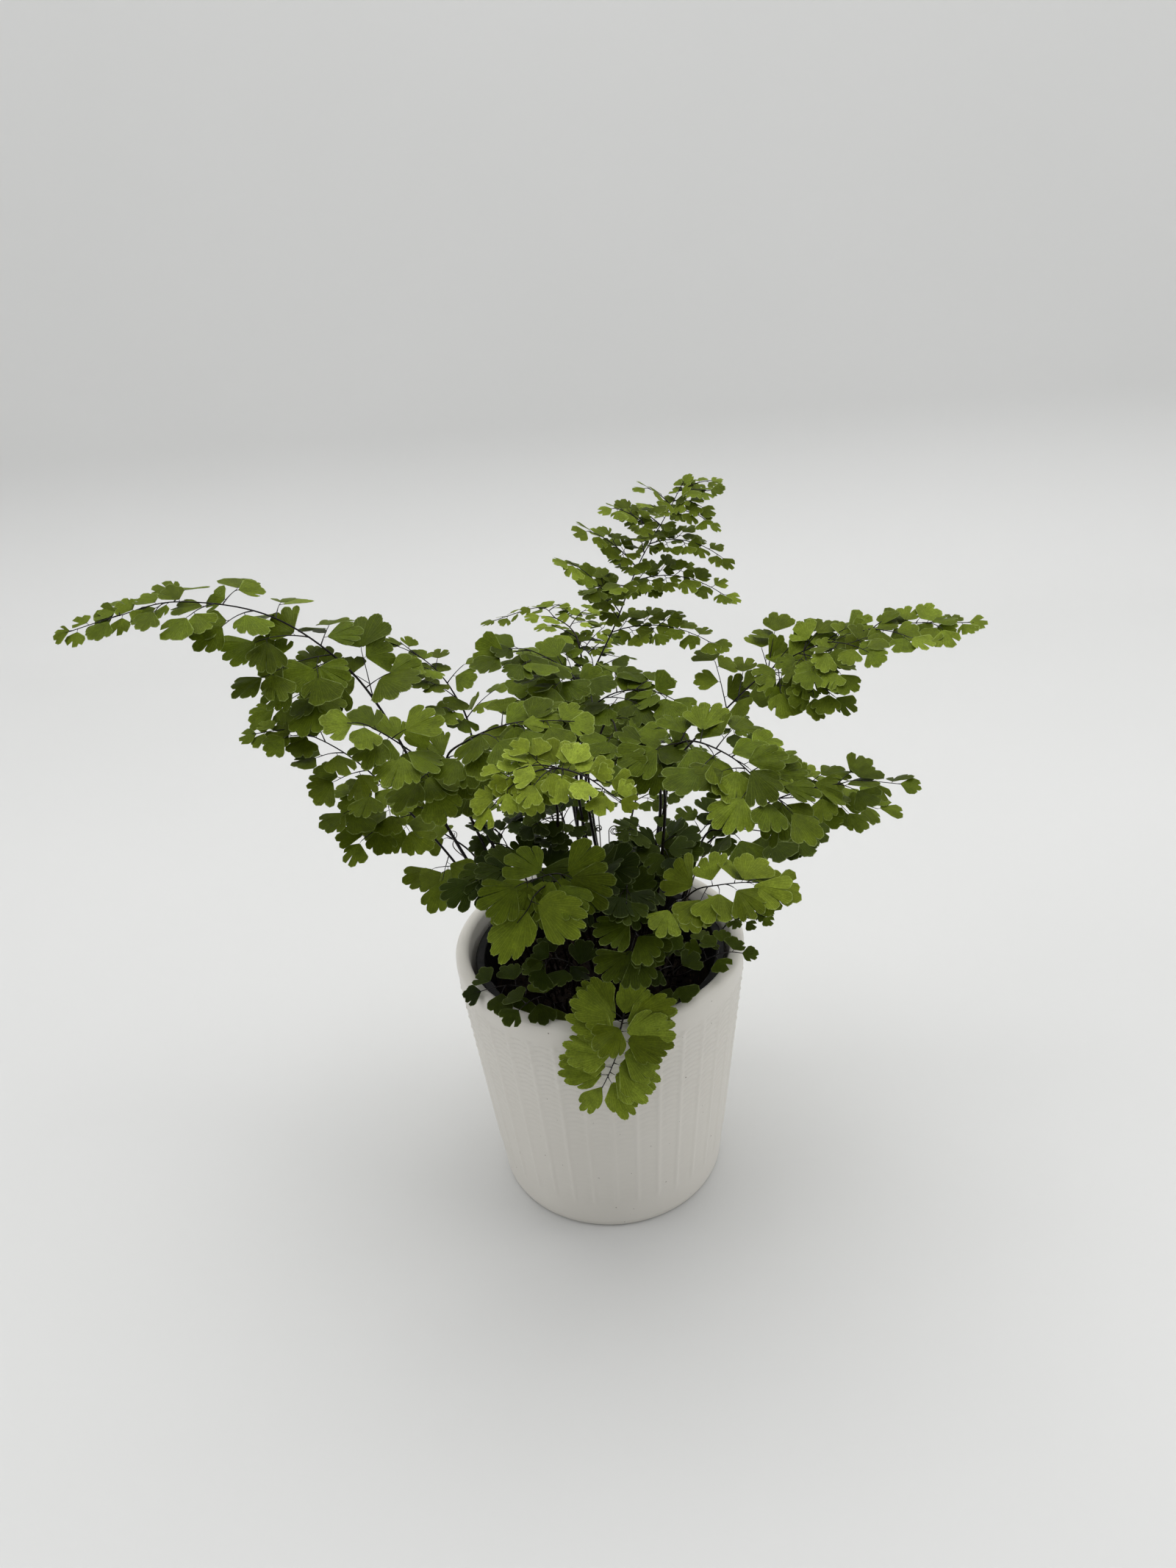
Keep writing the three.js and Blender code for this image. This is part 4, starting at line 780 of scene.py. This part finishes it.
def cover_pot():
    bm = bmesh.new()
    depth = bm.verts.layers.float.new("weave_depth")
    spun(bm, cover_profile(), WEAVE_RIBS * STEPS_PER_RIB)
    for vert in bm.verts:
        z = vert.co.z / MM
        radius = math.hypot(vert.co.x, vert.co.y) / MM
        on_outer_wall = abs(radius - cover_radius(z)) < 0.3
        if on_outer_wall and WEAVE_BOTTOM - 1 < z < WEAVE_TOP + 1:
            run_in = fade(z, WEAVE_BOTTOM, WEAVE_BOTTOM + WEAVE_RUN_IN)
            strength = run_in * (1 - fade(z, WEAVE_TOP - WEAVE_RUN_OUT, WEAVE_TOP))
            height = weave_height(math.atan2(vert.co.y, vert.co.x), z) * strength
            vert[depth] = max(0.0, -height * 1.4 + 0.1 * strength)
            out = Vector((vert.co.x, vert.co.y, 0)).normalized()
            vert.co += out * height * WEAVE_RELIEF * MM
    finish_piece("woven_cover_pot", bm, [GLAZE], "cover_pot")


# ---------------------------------------------------------------- nursery pot, soil and crowns

def nursery_radius(z):
    """Outer radius of the nursery pot's wall at a height."""
    widening = (NURSERY_TOP_RADIUS - NURSERY_FLOOR_RADIUS) / (NURSERY_TOP - NURSERY_BOTTOM)
    return NURSERY_FLOOR_RADIUS + widening * (z - NURSERY_BOTTOM)


def nursery_pot():
    bottom, top, wall, lip = NURSERY_BOTTOM, NURSERY_TOP, NURSERY_WALL, NURSERY_LIP_RADIUS
    under_lip = top - NURSERY_LIP_DEPTH
    corner, lip_round, inner_round = 1, 0.8, 0.6
    outer_corner, inner_corner = NURSERY_FLOOR_RADIUS - corner, NURSERY_FLOOR_RADIUS - wall - corner
    profile = [
        (0, bottom), (20, bottom), *arc(outer_corner, bottom + corner, corner, -85, -5, 4),
        *[(nursery_radius(z), z) for z in (*NURSERY_RINGS, under_lip)],
        (lip - 0.5, under_lip), (lip, under_lip + 0.5),
        *arc(lip - lip_round, top - lip_round, lip_round, 0, 90, 5),
        *arc(nursery_radius(top) - wall + inner_round, top - inner_round, inner_round, 90, 180, 4),
        *[(nursery_radius(z) - wall, z) for z in reversed(NURSERY_RINGS)],
        *arc(inner_corner, bottom + wall + corner, corner, 0, -90, 4), (0, bottom + wall)]
    bm = bmesh.new()
    spun(bm, profile, 120)
    finish_piece("black_nursery_pot", bm, [PLASTIC], "nursery_pot")


def potting_soil():
    """Soil with a rough top that drops towards the pot, and loose crumbs on it."""
    def soil_radius(z):
        return nursery_radius(z) - NURSERY_WALL - SOIL_GAP

    edge = SOIL_TOP - SOIL_EDGE_DROP
    brim = soil_radius(edge)
    rings = 34
    profile = [(0, SOIL_BOTTOM), *[(soil_radius(z), z) for z in (SOIL_BOTTOM, 50)], (brim, edge - 4)]
    profile += [(brim * (1 - i / rings), edge + SOIL_EDGE_DROP * fade(i, 0, 5)) for i in range(rings + 1)]
    bm = bmesh.new()
    spun(bm, profile, 150)
    for vert in bm.verts:
        if vert.co.z > (edge - 1) * MM:
            coarse = noise.fractal(vert.co * 150, 0.6, 2.1, 5)
            inward = 1 - fade(math.hypot(vert.co.x, vert.co.y) / MM, brim - 2, brim)
            vert.co.z += (0.9 * coarse - 0.3) * MM * inward
    rng = random.Random(41)
    for _ in range(SOIL_CRUMBS):
        turn, out = rng.uniform(0, math.tau), brim * 0.96 * math.sqrt(rng.random())
        size = rng.uniform(0.4, 1.5) * MM
        at = Vector((out * math.cos(turn), out * math.sin(turn), SOIL_TOP - 0.2)) * MM
        tumble = Matrix.Rotation(rng.uniform(0, math.tau), 3, Vector((rng.random(), rng.random(), 1)))
        sides = Vector((size, size * rng.uniform(0.6, 1), size * rng.uniform(0.5, 0.9)))
        crumb = Matrix.LocRotScale(at, tumble.to_quaternion(), sides)
        bmesh.ops.create_icosphere(bm, subdivisions=1, radius=1, matrix=crumb)
    finish_piece("crumbly_soil", bm, [SOIL], "potting_soil")


def crown_mound(centre, half, height):
    """A lumpy mound, cut flat a little below the soil's top."""
    bm = bmesh.new()
    place = Matrix.LocRotScale(Vector((centre.x, centre.y, SOIL_TOP - 0.5)) * MM, None,
                               Vector((half.x * 0.97, half.y * 0.97, height)) * MM)
    bmesh.ops.create_icosphere(bm, subdivisions=5, radius=1, matrix=place)
    for vert in bm.verts:
        lump = noise.fractal(vert.co * 230, 0.7, 2.2, 4)
        out = (vert.co - Vector((centre.x, centre.y, SOIL_TOP - 3)) * MM).normalized()
        vert.co += out * (lump * 1.1 - 0.5) * MM
    cut = bmesh.ops.bisect_plane(bm, geom=[*bm.verts, *bm.edges, *bm.faces], plane_no=(0, 0, -1),
                                 plane_co=(0, 0, (SOIL_TOP - 1.5) * MM), clear_outer=True)
    rim = [e for e in cut["geom_cut"] if isinstance(e, bmesh.types.BMEdge)]
    bmesh.ops.holes_fill(bm, edges=rim, sides=0)
    bmesh.ops.recalc_face_normals(bm, faces=bm.faces)
    return bm


def crown(name):
    """A rhizome clump: a scaly mound with stubs of old stalks and a tangle of fine roots."""
    rng = random.Random(name)
    low, high = corners(name)
    centre, half, height = (low + high) / 2, (high - low) / 2, high.z - low.z
    bm = crown_mound(centre, half, height)

    def surface_spot(reach):
        turn, out = rng.uniform(0, math.tau), reach * math.sqrt(rng.random())
        x, y = out * math.cos(turn), out * math.sin(turn)
        z = SOIL_TOP - 0.8 + (height - 0.2) * math.sqrt(max(0.0, 1 - x * x - y * y))
        spot = Vector((centre.x + x * half.x, centre.y + y * half.y, z)) * MM
        return spot, Vector((x, y, 0.6)).normalized()

    stubs, roots = [], []
    for _ in range(OLD_STALK_STUBS):
        foot, lean = surface_spot(0.8)
        tip = foot + (lean * 0.7 + UP) * rng.uniform(2, 7) * MM
        line = [foot - UP * MM, foot.lerp(tip, 0.5) + lean * 0.4 * MM, tip]
        stubs.append((line, rng.uniform(0.45, 0.7), rng.uniform(0.3, 0.5)))
    for _ in range(FINE_ROOTS):
        foot, lean = surface_spot(0.93)
        line = [foot]
        heading = (lean + any_way(rng, -0.3, 0.8)).normalized()
        for _step in range(6):
            heading = (heading + any_way(rng, -0.9, 0.5) * 0.7).normalized()
            line.append(line[-1] + heading * rng.uniform(0.7, 1.3) * MM)
        roots.append((line, rng.uniform(0.13, 0.24), 0.07))
    add_tubes(bm, stubs, 1, 1)
    add_tubes(bm, roots, 0, 0)
    finish_piece("rhizome_" + name, bm, [RHIZOME, STALK], name)


# ---------------------------------------------------------------- leaflets

# Places across a lobe, from notch to notch, of the points of its margin, by how many there are.
LOBE_STEPS = {
    3: (0, 0.24, 0.76, 1),
    4: (0, 0.15, 0.5, 0.85, 1),
    8: (0, 0.05, 0.16, 0.32, 0.5, 0.68, 0.84, 0.95, 1),
    12: (0, 0.03, 0.09, 0.18, 0.28, 0.39, 0.5, 0.61, 0.72, 0.82, 0.91, 0.97, 1),
}

# What the leaf finish reads at each point of a leaflet.
LEAFLET_VALUES = ("upper_side", "painted_light_and_tone", "own_shade", "rim_share")


def leafy_bmesh():
    bm = bmesh.new()
    bm.loops.layers.uv.new("UVMap")
    for value in LEAFLET_VALUES:
        bm.verts.layers.float.new(value)
    return bm


def fan_margin(rng, lobes, points_per_lobe, depths):
    """The margin of a fan, from side to side: for each point its place across the fan, 0 to 1, its reach
    from the foot, and the reach of the blade there before its lobes are cut."""
    widths = [rng.uniform(0.75, 1.25) for _ in range(lobes)]
    starts = [sum(widths[:i]) / sum(widths) for i in range(lobes + 1)]
    reach = [rng.uniform(0.90, 1.04) for _ in range(lobes)]
    notches = [rng.choice(depths) for _ in range(lobes + 1)]
    if rng.random() < 0.5:
        notches[rng.randrange(1, lobes)] = rng.uniform(0.36, 0.55)
    lean = rng.uniform(-0.4, 0.4)
    margin = []
    for column in range(lobes * points_per_lobe + 1):
        lobe = min(column // points_per_lobe, lobes - 1)
        step = column - lobe * points_per_lobe
        share = LOBE_STEPS[points_per_lobe][step]
        across = starts[lobe] + share * (starts[lobe + 1] - starts[lobe])
        blade = 1 - 0.26 * min(abs(2 * across - 1 + lean), 1.4) ** 2.4
        if step in (0, points_per_lobe):
            edge = lobe + (1 if step else 0)
            neighbours = reach[max(edge - 1, 0)] + reach[min(edge, lobes - 1)]
            out = neighbours / 2 * (1 - notches[edge])
        else:
            round_off = 0.15 * abs(2 * share - 1) ** 2.5
            tooth = 0.018 * (step % 2) if points_per_lobe > 4 else 0
            out = reach[lobe] * (1 - round_off - tooth)
        margin.append((across, out * blade, blade))
    return margin


def leaflet_mesh(name, rng, lobes, points_per_lobe, rings, half_spread, depths):
    """A fan leaflet one unit long: its foot at the origin, growing along +Y, upper side towards +Z."""
    bm = leafy_bmesh()
    steps = lobes * points_per_lobe
    bmesh.ops.create_grid(bm, x_segments=steps, y_segments=rings, size=1, calc_uvs=True)
    margin = fan_margin(rng, lobes, points_per_lobe, depths)
    bend, cup = rng.uniform(0.03, 0.16), rng.uniform(-0.10, 0.22)
    ripple, phase = rng.uniform(0.015, 0.04), rng.uniform(0, 6)
    for vert in bm.verts:
        across, out, blade = margin[round((vert.co.x + 1) / 2 * steps)]
        along = (vert.co.y + 1) / 2
        on_margin = along > 0.999
        radius = LEAFLET_FOOT + (1 - LEAFLET_FOOT) * along * (out if on_margin else min(out, blade))
        angle = (2 * across - 1) * half_spread
        x, y = radius * math.sin(angle), radius * math.cos(angle)
        wave = ripple * math.sin(across * math.tau * lobes * 0.5 + phase) * along ** 2
        vert.co = (x, y, cup * x * x - bend * radius * radius + wave)
    uv = bm.loops.layers.uv["UVMap"]
    for face in bm.faces:
        for loop in face.loops:
            u, v = loop[uv].uv
            loop[uv].uv = (margin[min(round(u * steps), steps)][0], v)
    bmesh.ops.recalc_face_normals(bm, faces=bm.faces)
    bm.faces.ensure_lookup_table()
    if bm.faces[0].normal.z < 0:
        bmesh.ops.reverse_faces(bm, faces=bm.faces)
    bmesh.ops.solidify(bm, geom=bm.faces[:], thickness=LEAFLET_THICKNESS)
    bmesh.ops.recalc_face_normals(bm, faces=bm.faces)
    upper = bm.verts.layers.float["upper_side"]
    for face in bm.faces:
        if face.normal.z > 0.35:
            for vert in face.verts:
                vert[upper] = 1.0
    mesh = bpy.data.meshes.new(name)
    bm.to_mesh(mesh)
    bm.free()
    return mesh


def leaflet_set(label, seed, lobe_counts, points_per_lobe, rings, spreads, depths):
    """Several shapes; spreads are the least and greatest half angle of the fan, in degrees, and depths the
    notches' shares of the length."""
    rng = random.Random(seed)
    return [leaflet_mesh(f"{label}_{i}", rng, lobes, points_per_lobe, rings,
                         math.radians(rng.uniform(*spreads)), depths)
            for i, lobes in enumerate(lobe_counts)]


SHALLOW, GENTLE = (0.12, 0.17, 0.22, 0.32), (0.08, 0.12, 0.18, 0.30)
MIDDLING, DEEP = (0.14, 0.20, 0.27, 0.38), (0.30, 0.42, 0.52, 0.60)
# Sets of shapes, each with the shortest leaflet, in millimetres, that it is used for.
LEAFLETS = [
    (15.0, leaflet_set("front_leaflet", 21, (6, 7, 6, 7, 5, 6), 12, 5, (66, 76), GENTLE)),
    (11.5, leaflet_set("large_leaflet", 8, (4, 5, 5, 4, 6, 5, 4), 8, 3, (44, 58), MIDDLING)),
    (7.0, leaflet_set("middle_leaflet", 3, (3, 4, 4, 3, 5, 4, 3, 4), 4, 2, (50, 68), SHALLOW)),
    (0.0, leaflet_set("small_leaflet", 5, (3, 4, 3, 4, 3, 3), 3, 2, (50, 66), SHALLOW)),
]
CUT_LEAFLETS = leaflet_set("cut_leaflet", 12, (5, 6, 5, 6, 4), 8, 4, (50, 66), DEEP)


# ---------------------------------------------------------------- fronds

def sideways(along, face_way):
    """The direction across a branch, in the plane that its leaflets lie in."""
    return face_way.cross(along).normalized()


class GrowingFrond:
    """A frond while it grows: its mesh, its own draws, what its leaflets share, and its stalks so far.
    Its functions work in metres; face_way is the direction that a branch's leaflets face."""

    def __init__(self, name, painted_light_and_tone, width, cut):
        self.bm = leafy_bmesh()
        self.rng = random.Random(name)
        self.painted_light_and_tone, self.width, self.cut = painted_light_and_tone, width, cut
        self.stalks, self.stalklets = [], []

    def blade(self, foot, heading, face, length, width, painted_light_and_tone):
        """Sets a leaflet with its foot at a place, growing along heading, its upper side towards face."""
        rng, bm = self.rng, self.bm
        side = heading.cross(face).normalized()
        up = side.cross(heading).normalized()
        place = Matrix((side * width, heading * length, up * length)).transposed().to_4x4()
        place.translation = foot
        fitting = next(shapes for shortest, shapes in LEAFLETS if length >= shortest * MM)
        mesh = rng.choice(CUT_LEAFLETS if self.cut else fitting).copy()
        mesh.transform(place)
        first = len(bm.verts)
        bm.from_mesh(mesh)
        bpy.data.meshes.remove(mesh)
        bm.verts.ensure_lookup_table()
        # tone carries the frond's own green together with the painted shade and painted light set for it in
        # FRONDS
        values = {"painted_light_and_tone": painted_light_and_tone, "own_shade": rng.random(), "rim_share": RIM_WIDTH * MM / length}
        for name, value in values.items():
            layer = bm.verts.layers.float[name]
            for vert in bm.verts[first:]:
                vert[layer] = value

    def leaflet(self, at, along, face_way, swing, size, spin=14.0):
        """A leaflet on its stalklet, swung away from the branch and turned at random by spin degrees."""
        rng = self.rng
        side = sideways(along, face_way)
        normal = along.cross(side).normalized()
        heading = along * math.cos(swing) + side * math.sin(swing)
        heading -= face_way * heading.dot(face_way) * LEVELLING
        heading = (heading - normal * rng.uniform(-0.12, 0.30)).normalized()
        level = normal.lerp(face_way, LEVELLING)
        roll = Matrix.Rotation(math.radians(rng.gauss(0, spin)), 3, heading)
        face = roll @ (level + along * rng.uniform(-0.25, 0.15))
        stalk = rng.uniform(0.9, 1.5) * MM
        foot = at + heading * stalk + normal * rng.uniform(-0.2, 0.5) * MM
        middle = at.lerp(foot, 0.5) + along * 0.12 * stalk
        self.stalklets.append(([at, middle, foot + heading * 0.05 * size], *STALKLET_RADII))
        width = size * self.width * rng.uniform(0.92, 1.12)
        self.blade(foot, heading, face, size, width, self.painted_light_and_tone + rng.gauss(0, 0.07))

    def sprig(self, at, along, face_way, swing, size):
        """A short side twig with three leaflets."""
        rng = self.rng
        heading = (along * math.cos(swing) + sideways(along, face_way) * math.sin(swing)).normalized()
        end = at + heading * 0.62 * size + UP * rng.uniform(-0.5, 0.8) * MM
        middle = at.lerp(end, 0.5) + along * 0.05 * size
        self.stalks.append(([at, middle, end], *TWIG_RADII))
        for foot, swings, sizes in (
                (middle, (50, 66), (0.72, 0.86)),
                (at.lerp(end, 0.68), (-48, -62), (0.72, 0.86)),
                (end, (-10, 10), (0.80, 0.95))):
            turn = math.radians(rng.uniform(*swings))
            self.leaflet(foot, heading, face_way, turn, size * rng.uniform(*sizes))

    def clothe(self, line, leaf, face_way, twiggy=False):
        """Sets leaflets left and right along a branch, and one at its end."""
        rng = self.rng
        run = distances(line)
        length = run[-1]
        first, last = FIRST_LEAFLET * leaf, length - LAST_LEAFLET * leaf
        count = max(0, math.floor((last - first) / (LEAF_PITCH * leaf)) + 1)
        sign = rng.choice((-1, 1))
        for i in range(count):
            distance = first + (last - first) * (i / max(count - 1, 1))
            at, along = place_on(line, run, min(distance, length))
            toward_tip = i / count
            size = leaf * (1.0 - 0.24 * toward_tip) * rng.uniform(0.90, 1.08)
            swing = math.radians(rng.uniform(52, 70)) * sign
            grow = self.sprig if twiggy and toward_tip < TWIGS_UP_TO else self.leaflet
            grow(at, along, face_way, swing, size)
            sign = -sign
        at, along = place_on(line, run, length)
        swing = math.radians(rng.uniform(-12, 12))
        size = leaf * (0.95 if count < 3 else 0.82) * rng.uniform(0.92, 1.08)
        self.leaflet(at, along, face_way, swing, size, 9.0)


def frond(name, leaf, facing, painted_light_and_tone, stem, branches, share=0.78, taper=0.12, width=1.0, cut=False):
    """A stem with leafy side branches and a leafy end."""
    made = GrowingFrond(name, painted_light_and_tone, width, cut)
    plate = leaf * MM
    size = plate * share
    lowest = min(place for place, _, _ in branches)

    def face_way(first, last):
        """The way a branch's leaflets face: up, and to the front by a share that is less further back."""
        forward = facing + FACING_PER_MM * (first.y - last.y) / MM
        return UP.lerp(Vector((0, -0.8, 0.6)), min(max(forward, 0.0), 1.0)).normalized()

    line = smooth_route(stem)
    run = distances(line)
    rooted = line[0] - (line[1] - line[0]).normalized() * 3 * MM
    stem_foot = STEM_FOOT_RADIUS + STEM_RADIUS_PER_METRE * run[-1]
    made.stalks.append(([rooted, *line], stem_foot, STEM_TIP_RADIUS))
    for place, tip, rise in branches:
        start, _ = place_on(line, run, min(place, 0.98) * run[-1])
        end = Vector(tip) * MM
        here = size * (1 + taper * (0.5 - (place - lowest) / (1 - lowest)))
        whole = bowed_route(start, start.lerp(end, 0.5) + UP * rise * MM, end)
        whole_run = distances(whole)
        bare = max(whole_run[-1] + 0.35 * plate - here, 0.12 * whole_run[-1])
        branch = part_of(whole, whole_run, 0, min(bare, whole_run[-1]))
        made.stalks.append((branch, *BRANCH_RADII))
        made.clothe(branch, here, face_way(start, end), (end - start).length > TWIGGY_REACH * plate)
    size *= 0.95 - 0.5 * taper
    leafy_end = part_of(line, run, TIP_START * run[-1], run[-1] - 0.3 * size)
    made.clothe(leafy_end, size, face_way(leafy_end[0], leafy_end[-1]))
    add_tubes(made.bm, made.stalks, 2, 1)
    add_tubes(made.bm, made.stalklets, 0, 1)
    finish_piece("frond_" + name, made.bm, [LEAF, STALK], name)


def crozier(name, stalk, coil):
    """A young frond: a thin stalk that ends in a flat coil with rolled leaf buds."""
    rng = random.Random(name)
    line = smooth_route(stalk)
    centre = line[-1] + Vector((coil, 0, 0)) * MM
    turns, steps = 2.6, 60
    winding = []
    for i in range(steps + 1):
        share = i / steps
        angle = math.tau * turns * share
        radius = coil * (1 - 0.85 * share) * MM
        lift = Vector((0, 0.5 * math.sin(angle / 2), 0)) * MM
        winding.append(centre + Vector((-radius * math.cos(angle), 0, radius * math.sin(angle))) + lift)
    bm = bmesh.new()
    add_tubes(bm, [(line, 0.38, 0.20), (winding, 0.20, 0.14)], 2, 0)
    buds = []
    for foot in winding[5:steps:3]:
        bud = foot + (foot - centre).normalized() * 0.22 * MM
        buds.append(([foot, bud, bud + any_way(rng) * 0.3 * MM], 0.12, 0.06))
    add_tubes(bm, buds, 0, 0)
    finish_piece("young_" + name, bm, [YOUNG], name)


def dried_stalk(name, branches):
    """A bare brittle stalk whose forks end in small curls."""
    rng = random.Random(name)
    runs = []
    for number, points in enumerate(branches):
        line = smooth_route(points)
        along = (line[-1] - line[-2]).normalized()
        bend = along.cross(Vector((0, 1, 0))).normalized() * rng.choice((-1, 1))
        radius = rng.uniform(1.0, 1.7) * MM
        middle = line[-1] + bend * radius
        for i in range(1, 15):
            angle = math.radians(30 * i)
            shrink = radius * (1 - 0.6 * i / 15)
            line.append(middle - bend * shrink * math.cos(angle) + along * shrink * math.sin(angle))
        runs.append((line, 0.26 if number else 0.42, 0.11))
    bm = bmesh.new()
    add_tubes(bm, runs, 2, 0)
    finish_piece("bare_" + name, bm, [DRY], name)


# ---------------------------------------------------------------- the plant in its pots

cover_pot()
nursery_pot()
potting_soil()
for crown_name in CROWNS:
    crown(crown_name)
for frond_name, plan in FRONDS.items():
    frond(frond_name, **plan)
for crozier_name, plan in CROZIERS.items():
    crozier(crozier_name, **plan)
for stalk_name, branches in DRIED_STALKS.items():
    dried_stalk(stalk_name, branches)
for shapes in (CUT_LEAFLETS, *(shapes for _, shapes in LEAFLETS)):
    for shape in shapes:
        bpy.data.meshes.remove(shape)


# ---------------------------------------------------------------- floor, light and camera

def studio_sweep():
    """One sheet of pale paper: the floor, a rounded corner behind, and the wall."""
    floor_front, depth_back, radius, wall_top, half_width = -3.0, 0.62, 0.16, 2.2, 3.0
    corner = [math.radians(90 * i / 12) for i in range(13)]
    profile = [(floor_front, 0.0), (0.0, 0.0),
               *[(depth_back + radius * math.sin(a), radius - radius * math.cos(a)) for a in corner],
               (depth_back + radius, wall_top)]
    bm = bmesh.new()
    corners = [bm.verts.new((-half_width, y, z)) for y, z in profile]
    edges = [bm.edges.new(pair) for pair in zip(corners, corners[1:])]
    swept = bmesh.ops.extrude_edge_only(bm, edges=edges)["geom"]
    far_side = [v for v in swept if isinstance(v, bmesh.types.BMVert)]
    bmesh.ops.translate(bm, vec=(2 * half_width, 0, 0), verts=far_side)
    bmesh.ops.recalc_face_normals(bm, faces=bm.faces)
    smooth_object("studio_sweep", bm, [PAPER])


def softbox(name, place, target, size, power):
    light = bpy.data.lights.new(name, "AREA")
    light.shape = "RECTANGLE"
    light.size, light.size_y = size
    light.energy = power
    holder = add_object(name, light)
    holder.location = place
    holder.rotation_euler = (Vector(target) - Vector(place)).to_track_quat("-Z", "Y").to_euler()


def room_light(colour, strength):
    world = bpy.data.worlds.new("room_light")
    bpy.context.scene.world = world
    world.use_nodes = True
    background = world.node_tree.nodes["Background"]
    feed(world.node_tree, background.inputs[0], colour)
    feed(world.node_tree, background.inputs[1], strength)


def photo_camera(place, down, roll, focal_length):
    """A camera that looks along +Y, tipped down and rolled by angles in degrees."""
    lens = bpy.data.cameras.new("camera")
    lens.lens = focal_length
    lens.sensor_width = 36
    lens.clip_start, lens.clip_end = 0.02, 20
    down, roll = math.radians(down), math.radians(roll)
    forward = Vector((0, math.cos(down), -math.sin(down)))
    level = Vector((1, 0, 0))
    upright = level.cross(forward)
    right = level * math.cos(roll) + upright * math.sin(roll)
    above = upright * math.cos(roll) - level * math.sin(roll)
    turned = Matrix((right, above, -forward)).transposed().to_4x4()
    turned.translation = place
    camera = add_object("camera", lens)
    camera.matrix_world = turned
    bpy.context.scene.camera = camera


studio_sweep()
softbox("overhead_softbox", (0.03, 0.35, 1.55), (0, 0.08, 0.1), (1.9, 1.6), 26)
softbox("left_softbox", (-1.5, -0.3, 0.9), (0, 0, 0.15), (1.0, 1.2), 5)
softbox("right_softbox", (1.5, -0.3, 0.9), (0, 0, 0.15), (1.0, 1.2), 6.5)
room_light((0.98, 0.99, 1.0), 0.36)
photo_camera((-0.0003, -0.3863, 0.3859), 28.0, -3.92, 27.0)
bpy.context.scene.view_settings.view_transform = "Standard"
